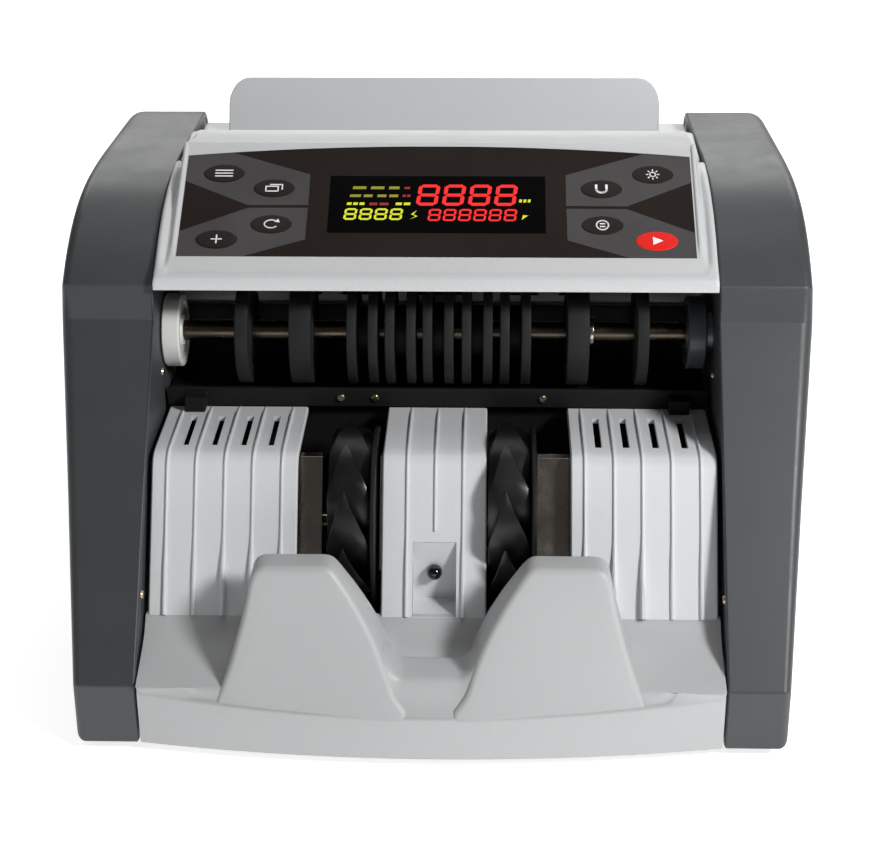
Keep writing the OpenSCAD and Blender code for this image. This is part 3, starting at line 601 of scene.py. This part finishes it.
def tooth_front(x, z):
    """The leaning front face, which follows the lip's bow at its foot."""
    t = (z - TOOTH_FOOT) / (TOOTH_TOP - TOOTH_FOOT)
    return (lip_front(x) + 0.35) * (1 - t) + TOOTH_LEAN * t


def make_tooth(side, name):
    """A note stop: its face in shrinking copies of its outline, then its rounded edges and its back."""
    line = smooth_line(TOOTH_LINE)
    inward = []
    for i, (x, z) in enumerate(line):
        (xa, za), (xb, zb) = line[max(i - 1, 0)], line[min(i + 1, len(line) - 1)]
        length = math.hypot(xb - xa, zb - za)
        inward.append(((zb - za) / length, -(xb - xa) / length))
    rows = []
    centre_x, centre_z = 46, 42
    for shrink in (0.65, 0.3):
        rows.append([(x + (centre_x - x) * shrink, z + (centre_z - z) * shrink if z > TOOTH_FOOT else z, 0)
                     for x, z in line])
    for k in range(7):
        a = math.radians(15 * k)
        inset = TOOTH_EDGE * (1 - math.sin(a))
        rows.append([(x + nx * inset, z + nz * inset, TOOTH_EDGE * (1 - math.cos(a)))
                     for (x, z), (nx, nz) in zip(line, inward)])
    points = [[(side * x, tooth_front(x, z) + dy, z) for x, z, dy in row] for row in rows]
    flat_end = TOOTH_BACK - TOOTH_REAR_EDGE
    points.append([(side * x, flat_end, z) for x, z in line])
    for k in range(1, 5):
        a = math.radians(22.5 * k)
        inset = TOOTH_REAR_EDGE * (1 - math.cos(a))
        points.append([(side * (x + nx * inset), flat_end + TOOTH_REAR_EDGE * math.sin(a), z + nz * inset)
                       for (x, z), (nx, nz) in zip(line, inward)])
    piece(name, flat(points), strips(points) + caps(points), tray_grey, "chassis", sharp=55)


BRIDGE_HALF, BRIDGE_FLAT = 17, 9.5


def make_bridge():
    """The low saddle between the note stops, with rounded ends that rise into them."""
    rows = []
    line = [(-8.2, 17.6), (-6.6, 19.4), (-4.9, 22.6), (-3.4, 26.4), (-2.5, 28.6), (-1.6, 29.7),
            (-0.4, 30.2), (3, 30.35), (7, 30.5), (10.6, 30.6), (12.2, 30.45), (13.3, 29.9), (13.9, 29.0),
            (14.1, 27.8), (12, 26), (5, 23.5), (-4, 19)]
    for i in range(33):
        x = BRIDGE_HALF * (2 * i / 32 - 1)
        lift = max(0, abs(x) - BRIDGE_FLAT) ** 2 * 0.12
        rows.append([(x, y, z + lift * min(1, max(0, (y + 9) / 9))) for y, z in line])
    faces = strips(rows, closed=True) + caps(rows)
    piece("tray_bridge", flat(rows), faces, tray_grey, "chassis", sharp=50)


make_tray()
make_tooth(1, "right_note_stop")
make_tooth(-1, "left_note_stop")
make_bridge()

# ---------- stacker back plate ----------

PLATE_TOP = 90.4
FOOT_Y, FOOT_Z = 27.0, 37.6
BEND_Y, BEND_Z = 55.6, 85.7
SLOPE = math.atan2(BEND_Z - FOOT_Z, BEND_Y - FOOT_Y)


def plate_y(z):
    """How far back the plate's slope is at a height."""
    return FOOT_Y + (z - FOOT_Z) / math.tan(SLOPE)


# The recess as (left, right, low, high), and the plate's side view from its rear over the bend to its foot
RECESS = (-7.4, 8.9, 38.4, 62.5)
PLATE_LINE = [(102, PLATE_TOP), (93, PLATE_TOP), (66.5, PLATE_TOP), (63.2, 90.3), (61.0, 89.95),
              (59.2, 89.3), (57.7, 88.3), (56.7, 87.3), (BEND_Y, BEND_Z)]
PLATE_LINE += [(plate_y(z), z) for z in (80, 75, 70, 66, RECESS[3], 58, 54, 50, 46, 42, RECESS[2], FOOT_Z)]
SIDE_RIBS = (57, 68, 78.6, 89.6, 100.5)
SIDE_SLOTS = (62.5, 73, 84.2, 95.2)
CENTRE_RIBS = (-9.7, 0.9, 11.4)
SLOT_HALF, SLOT_ROW = 1.3, 1
PLATE_T, PLATE_EDGE = 2.2, 0.5


def line_normals(line):
    """Outward unit normals of a side view line that runs from the top rear down to the front."""
    out = []
    for i in range(len(line)):
        (y0, z0), (y1, z1) = line[max(i - 1, 0)], line[min(i + 1, len(line) - 1)]
        length = math.hypot(y1 - y0, z1 - z0)
        out.append(((z1 - z0) / length, -(y1 - y0) / length))
    return out


def make_plate(name, x0, x1, slots, replaced=(), hole=None):
    """One section of the plate: a sheet with slots, and with a hole for the sensor's recess."""
    stops = [x0, x0 + PLATE_EDGE, x1 - PLATE_EDGE, x1]
    for s in slots:
        stops += [s - SLOT_HALF, s + SLOT_HALF]
    if hole:
        stops += [hole[0], hole[1]]
    stops = sorted(stops)
    normals = line_normals(PLATE_LINE)
    points, faces = [], []
    wide = len(PLATE_LINE)
    for x in stops:
        dip = PLATE_EDGE if x in (x0, x1) else 0
        for (y, z), (ny, nz) in zip(PLATE_LINE, normals):
            points.append((x, y - ny * dip, z - nz * dip))
    inner = len(points)
    for x in stops:
        for (y, z), (ny, nz) in zip(PLATE_LINE, normals):
            points.append((x, y - ny * PLATE_T, z - nz * PLATE_T))

    def open_cell(c, r):
        middle = (stops[c] + stops[c + 1]) / 2
        if any(abs(middle - s) < SLOT_HALF for s in slots) and r == SLOT_ROW:
            return True
        lower, upper = PLATE_LINE[r + 1][1], PLATE_LINE[r][1]
        return bool(hole) and hole[0] < middle < hole[1] and hole[2] <= lower and upper <= hole[3]

    solid = {(c, r) for c in range(len(stops) - 1) for r in range(wide - 1) if not open_cell(c, r)}
    for c, r in solid:
        a, b = c * wide + r, (c + 1) * wide + r
        faces.append((a, b, b + 1, a + 1))
        faces.append((inner + a, inner + a + 1, inner + b + 1, inner + b))
        for (dc, dr), (p, q) in {(-1, 0): (a, a + 1), (1, 0): (b, b + 1), (0, -1): (a, b),
                                 (0, 1): (a + 1, b + 1)}.items():
            if (c + dc, r + dr) not in solid:
                faces.append((p, q, inner + q, inner + p))
    piece(name, points, faces, pale_grey, "chassis", replaced, sharp=35)


RIB_FOOT = 38


def make_rib(name, x, wedge, foot=RIB_FOOT):
    """A thin raised line along the plate; a wedge rib grows towards its foot."""
    normals = line_normals(PLATE_LINE)
    rows = []
    for (y, z), (ny, nz) in zip(PLATE_LINE, normals):
        if z < foot:
            break
        fade = min(1, max(0, (98 - y) / 4))
        low = smooth_step((66 - z) / 14)
        high = 0.9 * fade + 0.3 * low + (1.9 * smooth_step((62 - z) / 20) if wedge else 0)
        half = 0.5 + 0.25 * low + (0.35 * low if wedge else 0)
        section = [(-half - 0.15, -0.2), (-half, high * 0.7), (-half * 0.5, high), (half * 0.5, high),
                   (half, high * 0.7), (half + 0.15, -0.2)]
        rows.append([(x + dx, y + ny * up, z + nz * up) for dx, up in section])
    faces = strips(rows, closed=True) + caps(rows)
    piece(name, flat(rows), faces, pale_grey, "chassis", sharp=50)


make_plate("plate_left", -106.5, -51.2, [-s for s in SIDE_SLOTS], ["stacker_back_plate"])
make_plate("plate_right", 51.7, 106.5, SIDE_SLOTS)
make_plate("plate_centre", -19.2, 20.1, (), hole=RECESS)


def make_recess():
    """The open box in the centre plate: a floor, a rear wall and two three-cornered cheeks."""
    x0, x1, low, high = RECESS
    wall_y = plate_y(high) + 0.4
    points, faces = [], []
    for x, out in ((x0, -1.0), (x1, 1.0)):
        first = len(points)
        points += [(x, plate_y(low) - 0.2, low), (x, wall_y, low), (x, wall_y, high),
                   (x + out, plate_y(low), low - 1), (x + out, wall_y + 1, low - 1),
                   (x + out, wall_y + 1, high)]
        faces += [(first, first + 1, first + 2), (first + 3, first + 4, first + 5)]
    faces += [(0, 1, 7, 6), (1, 2, 8, 7), (3, 4, 10, 9), (4, 5, 11, 10), (0, 3, 9, 6), (2, 5, 11, 8),
              (0, 2, 5, 3), (6, 8, 11, 9)]
    piece("sensor_recess", points, faces, pale_grey, "chassis", sharp=20)


make_recess()
for i, x in enumerate(CENTRE_RIBS):
    make_rib(f"centre_rib_{i}", x, False, RECESS[3] + 0.5 if RECESS[0] <= x <= RECESS[1] else RIB_FOOT)
for i, x in enumerate(SIDE_RIBS):
    for s, side in ((-1, "left"), (1, "right")):
        make_rib(f"{side}_rib_{i}", s * x, i < 3)
refined("throat_plate", mirror_steel, 0.2)


def make_lens(name, centre, radius, skirt=1.2, rings=8, steps=28):
    """A half ball that looks forwards, with a short skirt behind it."""
    x, y, z = centre
    turns = [2 * math.pi * k / steps for k in range(steps)]
    levels = [(radius, -skirt)]
    for r in range(rings + 1):
        a = math.pi / 2 * r / rings
        levels.append((radius * math.cos(a) + 1e-4, radius * math.sin(a)))
    rows = [[(x - out * math.cos(t), y - along, z + out * math.sin(t)) for t in turns] for out, along in levels]
    faces = strips(rows, closed=True) + caps(rows)
    piece(name, flat(rows), faces, lens_dark, "chassis", ["stack_sensor"], sharp=60)


make_lens("sensor_lens", (0.6, 40.2, 50.4), 2.9)

# ---------- stacker wheels ----------

STACKER = (67.5, 58.0)
VANE_R, HUB_R, VANES, VANE_SWEEP, VANE_PHASE, VANE_CURVE = 38.5, 11.0, 11, 105.0, 5.0, 1.6
WHEEL_HALF, TIP_HALF, TIP_SHIFT, TIP_THICK, VANE_THICK = 7.9, 0.3, 1.6, 0.5, 2.0


def make_wheel(name, middle, body, node):
    """A hub with overlapping vanes; each vane narrows to a point that lies a little left of the middle."""
    points, faces = [], []
    steps = 22
    for v in range(VANES):
        turn = 360 / VANES * v + VANE_PHASE
        rows = []
        for i in range(steps + 1):
            t = i / steps
            radius = VANE_R - (VANE_R - HUB_R + 1) * t ** VANE_CURVE
            grow = min(1, t / 0.3)
            half = TIP_HALF + (WHEEL_HALF - TIP_HALF) * grow
            centre = middle - TIP_SHIFT * (1 - grow)
            thick = TIP_THICK + (VANE_THICK - TIP_THICK) * min(1, t / 0.12)
            a = math.radians(turn + VANE_SWEEP * t)
            section = []
            for across, depth in ((-1, 0.45), (-0.9, 0.1), (-0.4, 0.0), (0, 0.0), (0.4, 0.0), (0.9, 0.1),
                                  (1, 0.45), (0.9, thick), (0, thick), (-0.9, thick)):
                r = max(radius - depth, HUB_R - 1.5)
                y, z = STACKER[0] + r * math.cos(a), STACKER[1] + r * math.sin(a)
                section.append((centre + across * half, y, z))
            rows.append(section)
        first = len(points)
        points += flat(rows)
        faces += [tuple(first + k for k in face) for face in strips(rows, closed=True) + caps(rows)]
    piece(name + "_vanes", points, faces, vane_black, body, [node], sharp=24)
    left, right = middle - WHEEL_HALF, middle + WHEEL_HALF
    hub = [(left, 3), (left, HUB_R - 0.6), (left + 0.6, HUB_R), (right - 0.6, HUB_R), (right, HUB_R - 0.6),
           (right, 7.5), (right - 1.2, 7), (right - 1.2, 5), (right, 4.6), (right, 3)]
    lathe(name + "_hub", STACKER, hub, black_plastic, body)
    flange = disc_profile(middle + 8.3, middle + 10.1, 36.5, 3, 0.4)
    lathe(name + "_flange", STACKER, flange, guide_black, body)


make_wheel("left_wheel", -31.5, "stacker_wheel_set", "left_impeller")
make_wheel("right_wheel", 28.6, "stacker_wheel_set", "right_impeller")
refined("stacker_shaft", bright_steel, 0.3)
refined("stacker_pulley", black_plastic, 0.2)
refined("stacker_belt", belt_rubber, 0)
refined("stacker_motor", zinc_steel, 0.5)
refined("stacker_motor_pulley", zinc_steel, 0.2)

# ---------- feed ----------

FEED, PICK = (115.0, 118.0), (163.0, 108.0)
FEED_R, PICK_R, SHAFT_R = 21.0, 18.5, 3.2
SHAFT_END_R, BOSS_R = 2.8, 4.1


def tyre(name, centre, x0, x1, outer, body, replaced=(), edge=0.5):
    """A rubber ring with a shallow groove in each side face, where it grips its hub."""
    corner = round_corner(edge)
    dent = min(0.5, (x1 - x0) * 0.12)
    ring = [(SHAFT_R, 0), (SHAFT_R + 1.5, 0), (outer * 0.5, 0), (outer * 0.52, dent), (outer * 0.6, dent),
            (outer * 0.62, 0)]
    left = [(x0 + d, r) for r, d in ring] + [(x0 + dx, outer - dr) for dx, dr in corner]
    right = [(x1 - dx, outer - dr) for dx, dr in reversed(corner)] + [(x1 - d, r) for r, d in reversed(ring)]
    lathe(name, centre, left + right, feed_rubber, body, replaced, 72, 30)


shaft_lo, shaft_hi = (corner.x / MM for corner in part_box("feed_shaft"))
shaft_line = [(shaft_lo, 0.05), (shaft_lo, SHAFT_END_R), (shaft_lo + 0.4, SHAFT_R), (-105.8, SHAFT_R),
              (-105.4, BOSS_R), (105.4, BOSS_R), (105.8, SHAFT_R), (shaft_hi - 0.4, SHAFT_R),
              (shaft_hi, SHAFT_END_R), (shaft_hi, 0.05)]
lathe("drive_shaft", FEED, shaft_line, worn_steel, "feed_roller_set", ["feed_shaft"])
for i, (x0, x1) in enumerate([(-78.4, -73.3), (78.0, 82.6), (-57.3, -48.8), (51.0, 59.5)]):
    tyre(f"feed_tyre_{i}", FEED, x0, x1, FEED_R, "feed_roller_set", ["feed_rollers"] if i == 0 else ())
CORE_HALF, SPOOL_HALF, CORE_R = 2.3, 6, 10.0
for i, x in enumerate((-28.8, -13.9, 0.8, 16.0, 30.9)):
    tyre(f"spool_{i}_left", FEED, x - SPOOL_HALF, x - CORE_HALF, FEED_R, "feed_roller_set")
    tyre(f"spool_{i}_right", FEED, x + CORE_HALF, x + SPOOL_HALF, FEED_R, "feed_roller_set")
    lathe(f"spool_{i}_core", FEED, disc_profile(x - CORE_HALF, x + CORE_HALF, CORE_R, SHAFT_R, 0.2),
          guide_black, "feed_roller_set")


def end_disc(name, x0, x1, material, replaced=()):
    """A turned nylon disc with a stepped face towards the middle of the machine."""
    inward = 1 if x0 < 0 else -1
    near, far = (x1, x0) if inward > 0 else (x0, x1)
    step = near - inward * 0.9
    profile = [(far, SHAFT_R), (far, 14.0), (far + inward * 0.5, 14.5), (near - inward * 0.6, 14.5),
               (near, 13.9), (near, 11.6), (step, 11.2), (step, 6.4), (near, 6.0), (near, SHAFT_R)]
    lathe(name, FEED, profile, material, "feed_roller_set", replaced, 56)


end_disc("left_end_disc", -108.0, -101.0, white_nylon, ["feed_end_discs"])
# The right disc is the same white nylon as the left one; its dark colour is painted shade from the head above
# it
end_disc("right_end_disc", 98.3, 105.4, nylon_painted_shade)
lathe("shaft_collar", FEED, disc_profile(60.0, 62.0, 6.2, SHAFT_R, 0.4), bright_steel, "feed_roller_set")
refined("feed_gear", white_nylon, 0.15)
refined("pickup_gear", black_plastic, 0.15)
refined("shaft_bearings", zinc_steel, 0.3)
refined("pickup_shaft", bright_steel, 0.3)
for i, (x0, x1) in enumerate([(-60, -50), (-40, -30), (-10, 10), (30, 40), (50, 60)]):
    replaced = ["pickup_rollers"] if i == 0 else ()
    tyre(f"pickup_tyre_{i}", PICK, x0, x1, PICK_R, "pickup_roller_set", replaced, 0.7)
refined("pickup_pulley", black_plastic, 0.2)
refined("drive_belt", belt_rubber, 0)
refined("main_motor", zinc_steel, 0.6)
refined("main_motor_pulley", zinc_steel, 0.2)
refined("lower_guide", guide_black, 0.3)

# ---------- hopper ----------

refined("hopper_plate", pale_grey, 0.6)
refined("hopper_front", black_plastic, 0.4)
refined("retard_bracket", feed_rubber, 0.3)
refined("retard_bridge", zinc_steel, 0.3)
refined("gap_knob", black_plastic, 0.25)
refined("left_note_guide", black_plastic, 0.3)
refined("right_note_guide", black_plastic, 0.3)
refined("guide_rail", bright_steel, 0.3)

# ---------- electrics ----------

refined("main_board", board_green, 0.2)
refined("transformer", zinc_steel, 0.4)
refined("power_sockets", black_plastic, 0.35)
refined("switch_rocker", black_plastic, 0.35)
refined("head_hinge_pins", bright_steel, 0.3)
refined("head_chassis", black_plastic, 0.3)
refined("display_module", board_green, 0.2)
refined("key_boards", board_green, 0.2)

# ---------- head ----------

PANEL_Y, PANEL_Z, PANEL_TILT = 98.0, 155.3, math.radians(30.6)
FILM_HALF, FILM_SIDE, FILM_RISE = 99.4, 51.7, 5.2


def on_panel(u, v, up=0.0):
    """A point of the key panel: u across, v up its slope, up out of it."""
    return (u, PANEL_Y + v * math.cos(PANEL_TILT) - up * math.sin(PANEL_TILT),
            PANEL_Z + v * math.sin(PANEL_TILT) + up * math.cos(PANEL_TILT))


# Side view of the head: the top of its outer edge, and its lower edge
EDGE_LINE = [(88.3, 149.6), (89.2, 150.6), (91, 151.7), (94, 153.2), (100, 156.9), (107.8, 161.9),
             (119, 167.5), (131.3, 171.5), (143, 174.2), (154.5, 175.9), (187, 178.7), (190.4, 177.7)]
HEAD_LOW = [(88, 145.2), (150, 148), (180, 155.5), (190.6, 160)]
HALF_HEAD, HALF_HEAD_REAR, NOTCH_Y = 107.3, 105.5, 154.5
HEAD_EDGE, SKIRT_T = 1.6, 2.2
PLATEAU_START, PLATEAU_END, PLATEAU_HALF, PLATEAU_REAR_Z = 91, 147.6, 101.6, 178.4
GROOVE_X, GROOVE_DEPTH, RIM_RISE = 103.2, 1.5, 0.9


def panel_z(y):
    return PANEL_Z + (y - PANEL_Y) * math.tan(PANEL_TILT)


def head_z(x, y):
    """Height of the head's top: an outer shoulder, a soft-sided plateau and its raised rim."""
    x = abs(x)
    edge = lerp_line(EDGE_LINE, y)
    if y < PLATEAU_START:
        plateau = edge
    elif y <= PLATEAU_END:
        plateau = panel_z(y)
    else:
        top = panel_z(PLATEAU_END)
        plateau = top + (PLATEAU_REAR_Z - top) * smooth_step((y - PLATEAU_END) / 42) ** 0.8
    inside = smooth_step((PLATEAU_HALF + 2.4 - x) / 2.6)
    groove = GROOVE_DEPTH * math.exp(-((x - GROOVE_X) / 1.5) ** 2) * (1 - inside)
    groove *= smooth_step((y - 92) / 7) * smooth_step((150 - y) / 10)
    z = edge + (plateau - edge) * inside - groove
    v = (y - PANEL_Y) / math.cos(PANEL_TILT)
    if v > 1 and y <= PLATEAU_END + 3:
        rim = smooth_step((x - 99.9) / 0.7) * smooth_step((PLATEAU_HALF + 0.6 - x) / 0.7)
        z += RIM_RISE * max(rim, smooth_step((v - 56.6) / 0.9) * (x < 101.8)) * smooth_step((v - 1) / 4)
    return z


def make_head():
    """The head's shell as rows across it, with columns crowded where the groove and the rim are."""
    ys = [88.3, 88.6, 89.2, 90, 91, 92.5, 94, 96, 98, 100, 103]
    ys += [103 + 1.5 * k for k in range(1, 29)]
    ys += [145.8, 146.3, 146.8, 147.2, 147.6, 148.2, 149, 151, 154.4, 154.6, 158, 163, 169, 175, 181, 185,
           187.5, 189, 190, 190.4]
    us = [0, 20, 40, 60, 80, 92, 97, 99, 99.7, 99.95, 100.2, 100.5, 100.9, 101.3, 101.7, 102.1, 102.5,
          102.9, 103.3, 103.7, 104.1, 104.6, 105.1, 105.7, 106.3, 106.8, 107.1, 107.3]
    us = [-u for u in reversed(us[1:])] + us
    rows = []
    for y in ys:
        half = HALF_HEAD if y < NOTCH_Y else HALF_HEAD_REAR
        row = []
        for u in us:
            x = u * half / HALF_HEAD
            inset = half - abs(x)
            drop = HEAD_EDGE - math.sqrt(max(HEAD_EDGE ** 2 - max(HEAD_EDGE - inset, 0) ** 2, 0))
            row.append((x, y, head_z(x, y) - drop))
        skirt = lerp_line(HEAD_LOW, y)
        x0, x1 = row[0][0], row[-1][0]
        rows.append([(x0 + SKIRT_T, y, skirt), (x0, y, skirt)] + row
                    + [(x1, y, skirt), (x1 - SKIRT_T, y, skirt)])
    front = [(x, 88.0, 145.2 if z > 146 else z) for x, _, z in rows[0]]
    inner = [(x, 90.4, 145.2) for x, _, z in rows[0]]
    rear = [(x, 190.6, 160.0) for x, _, z in rows[-1]]
    rows = [inner, front] + rows + [rear]
    piece("head_shell", flat(rows), strips(rows), light_case, "head", ["head_cover"], sharp=55)


make_head()


def inlay(name, shapes, low, high, material, body, replaced=()):
    """Flat shapes of the key panel, as prisms between two heights above it."""
    points, faces = [], []
    for shape in shapes:
        first, n = len(points), len(shape)
        points += [on_panel(u, v, low) for u, v in shape] + [on_panel(u, v, high) for u, v in shape]
        faces.append(tuple(first + n + k for k in range(n)))
        faces.append(tuple(first + k for k in reversed(range(n))))
        for k in range(n):
            m = (k + 1) % n
            faces.append((first + k, first + m, first + n + m, first + n + k))
    piece(name, points, faces, material, body, replaced, sharp=30)


def oval(c, a, b, steps=48):
    return [(c[0] + a * math.cos(2 * math.pi * k / steps), c[1] + b * math.sin(2 * math.pi * k / steps))
            for k in range(steps)]


def mirrored(shape):
    return [(-u, v) for u, v in reversed(shape)]


film_outline = [(-FILM_HALF, 0.0), (FILM_HALF, 0.0)] + [
    (FILM_HALF * (1 - k / 12), FILM_SIDE + FILM_RISE * (1 - (1 - k / 12) ** 2)) for k in range(25)]
inlay("film_base", [film_outline], -0.3, 0.1, film_black, "head", ["keypad_film"])
UPPER_FIELD = [(-99.4, 38.2), (-73.8, 25.8), (-50.2, 25.9), (-50.3, 41.8), (-81.4, 53.2), (-99.4, 51.6)]
LOWER_FIELD = [(-99.4, 0.0), (-73.9, 0.0), (-50.4, 8.5), (-50.3, 24.5), (-73.6, 24.4), (-99.4, 12.4)]
fields = [UPPER_FIELD, LOWER_FIELD, mirrored(UPPER_FIELD), mirrored(LOWER_FIELD)]
inlay("film_fields", fields, 0.0, 0.13, film_grey, "head")
window = [(-42.2, 11.9), (42.2, 11.9), (42.2, 41.1), (-42.2, 41.1)]
inlay("window_pane", [window], -0.2, 0.14, screen_black, "head", ["display_window"])

# Display: slanted seven-segment digits and small lit bars
SLANT = 0.12


def segment(c, d, half, reach):
    """One pointed bar of a digit, centred on c along the direction d."""
    side = (-d[1], d[0])
    shape = []
    for along, out in ((-reach, 0), (half - reach, -half), (reach - half, -half), (reach, 0),
                       (reach - half, half), (half - reach, half)):
        shape.append((c[0] + d[0] * along + side[0] * out, c[1] + d[1] * along + side[1] * out))
    return shape


def digit(u, v, wide, high, half):
    """All seven bars of a digit whose middle is at u, v."""
    reach_u, reach_v = wide / 2 - half * 0.6, high / 4 - half * 0.55
    parts = [segment((0, k * (high / 2 - half)), (1, 0), half, reach_u) for k in (-1, 0, 1)]
    parts += [segment((s * (wide / 2 - half * 0.4), k * (high / 4 - half * 0.3)), (0, 1), half, reach_v)
              for s in (-1, 1) for k in (-1, 1)]
    return [[(u + a + b * SLANT, v + b) for a, b in part] for part in parts]


def digits(u0, u1, v0, v1, count, half):
    """A row of digits that fills a field of the display."""
    pitch = (u1 - u0) / count
    wide = pitch * 0.74
    out = []
    for k in range(count):
        out += digit(u0 + pitch * (k + 0.5), (v0 + v1) / 2, wide, v1 - v0, half)
    return out


def bars(u0, u1, v0, v1, cuts):
    """Short lit bars in a row; cuts are the shares of the row where a bar starts and ends."""
    span = u1 - u0
    return [[(u0 + span * a, v0), (u0 + span * b, v0), (u0 + span * b + 0.2, v1), (u0 + span * a + 0.2, v1)]
            for a, b in cuts]


red = digits(-8.6, 31.9, 25.8, 36.7, 4, 0.75) + digits(-3.8, 31.5, 18.0, 24.1, 6, 0.42)
red_marks = bars(-13.6, -10.6, 30.2, 31.4, [(0, 0.42), (0.58, 1)])
red_marks += bars(-26.5, -19, 25.9, 27.2, [(0, 0.42), (0.54, 1)])
red_marks += bars(-13.0, -10.8, 34.3, 35.4, [(0, 1)])
yellow = digits(-36.5, -12.8, 18.4, 24.3, 4, 0.45)
yellow += bars(-35.2, -28.4, 26.0, 27.3, [(0, 0.26), (0.36, 0.62), (0.72, 1)])
yellow += bars(-16.2, -10.5, 26.0, 27.3, [(0, 0.42), (0.56, 1)])
yellow += bars(31.9, 36.3, 27.6, 29.1, [(0, 0.24), (0.38, 0.62), (0.76, 1)])
yellow += [[(32.9, 18.7), (35.4, 20.9), (33.4, 21.1)],
           [(-10.4, 18.8), (-8.2, 20.4), (-10.0, 21.4), (-7.8, 23.3), (-9.0, 21.3), (-7.4, 20.4)]]
yellow_marks = bars(-33.2, -14.6, 34.2, 35.6, [(0, 0.28), (0.38, 0.66), (0.76, 0.98)])
yellow_marks += bars(-34.2, -15.0, 30.1, 31.4, [(0, 0.22), (0.28, 0.46), (0.56, 0.74), (0.8, 0.98)])
for name, shapes, material in (("lit_digits_red", red, lit_red), ("lit_digits_yellow", yellow, lit_yellow),
                               ("lit_marks_red", red_marks, dim_red),
                               ("lit_marks_yellow", yellow_marks, dim_yellow)):
    inlay(name, shapes, 0.1, 0.17, material, "head")

# ---------- keys ----------

KEY_A, KEY_B = 8.1, 4.7
# A cap's levels from its hidden flange to its top, as (height above the panel, distance in from its edge)
CAP_LEVELS = ((-2.6, -1.1), (-1.3, -1.1), (-1.3, 0), (0.12, 0), (0.26, 0.12), (0.34, 0.45), (0.38, 1.2),
              (0.4, 2.6))
SIGN_LOW, SIGN_HIGH = 0.36, 0.44


def thick_line(points, half):
    """Short bars along a line, one for each stretch."""
    out = []
    for (u0, v0), (u1, v1) in zip(points, points[1:]):
        length = math.hypot(u1 - u0, v1 - v0)
        du, dv = (u1 - u0) / length, (v1 - v0) / length
        out.append([(u0 - (du / 2 + dv * t) * half, v0 - (dv / 2 - du * t) * half) for t in (1, -1)]
                   + [(u1 + (du / 2 - dv * t) * half, v1 + (dv / 2 + du * t) * half) for t in (-1, 1)])
    return out


def loop(c, a, b, half, start=0, end=360, steps=20):
    """A thick line round an ellipse, or round a part of it, in degrees."""
    angles = [math.radians(start + (end - start) * k / steps) for k in range(steps + 1)]
    return thick_line([(c[0] + a * math.cos(t), c[1] + b * math.sin(t)) for t in angles], half)


THIN = 0.28
# Plain pictograms, round the middle of each key
SIGNS = {
    "stack_key": thick_line([(-3.4, -1.5), (3.4, -1.5)], THIN) + thick_line([(-3.4, 0), (3.4, 0)], THIN)
    + thick_line([(-3.4, 1.5), (3.4, 1.5)], THIN),
    "double_key": thick_line([(-3.2, -1.7), (1.6, -1.7), (1.6, 0.8), (-3.2, 0.8), (-3.2, -1.7)], THIN)
    + thick_line([(-1.6, 1.7), (3.2, 1.7), (3.2, -0.8)], THIN),
    "auto_key": loop((0, 0), 2.6, 2.0, THIN, 40, 320) + [[(1.2, 1.0), (3.3, 0.8), (2.6, 2.6)]],
    "add_key": thick_line([(-2.0, 0), (2.0, 0)], THIN) + thick_line([(0, -2.0), (0, 2.0)], THIN),
    "lamp_key": loop((0, 0), 1.1, 1.1, THIN) + [s for k in range(8) for s in thick_line(
        [(r * math.cos(k * math.pi / 4), r * math.sin(k * math.pi / 4)) for r in (1.8, 2.6)], 0.2)],
    "magnet_key": thick_line([(-2.0, 2.0), (-2.0, -0.3)], 0.45) + thick_line([(2.0, 2.0), (2.0, -0.3)], 0.45)
    + loop((0, -0.2), 2.0, 1.7, 0.45, 180, 360, 12),
    "value_key": loop((0, 0), 2.3, 2.3, THIN) + thick_line([(-0.9, 0.7), (0.9, 0.7)], THIN)
    + thick_line([(-0.9, -0.7), (0.9, -0.7)], THIN),
    "start_key": [[(-1.5, -2.0), (2.4, 0), (-1.5, 2.0)]],
}
KEY_PLACES = {"stack_key": (-84.4, 42.1), "double_key": (-64.1, 34.5), "auto_key": (-64.0, 16.0),
              "add_key": (-84.6, 8.3), "lamp_key": (84.4, 42.1), "magnet_key": (64.1, 34.5),
              "value_key": (64.0, 16.0), "start_key": (84.6, 8.3)}


def make_key(node, c):
    """An oval cap with a softly domed top, and its printed sign."""
    material, slot = (key_red, "key_red") if node == "start_key" else (key_grey, "key_grey")
    rows = [[on_panel(u, v, up) for u, v in oval(c, KEY_A - inset, KEY_B - inset)] for up, inset in CAP_LEVELS]
    body = node + "_cap"
    faces = strips(rows, closed=True) + caps(rows)
    piece(node + "_top", flat(rows), faces, material, body, [node], sharp=50)
    shapes = [[(c[0] + u, c[1] + v) for u, v in shape] for shape in SIGNS[node]]
    inlay(node + "_sign", shapes, SIGN_LOW, SIGN_HIGH, film_white, body)


for node, place in KEY_PLACES.items():
    make_key(node, place)

# ---------- floor ----------

floor = link("floor", bpy.data.meshes.new("floor"))
bm = bmesh.new()
bmesh.ops.create_grid(bm, x_segments=8, y_segments=8, size=FLOOR_HALF)
bm.to_mesh(floor.data)
bm.free()
floor.location.z = cad_box[0].z - FLOOR_GAP
floor.data.materials.append(paper_floor())

make_camera()
make_studio()
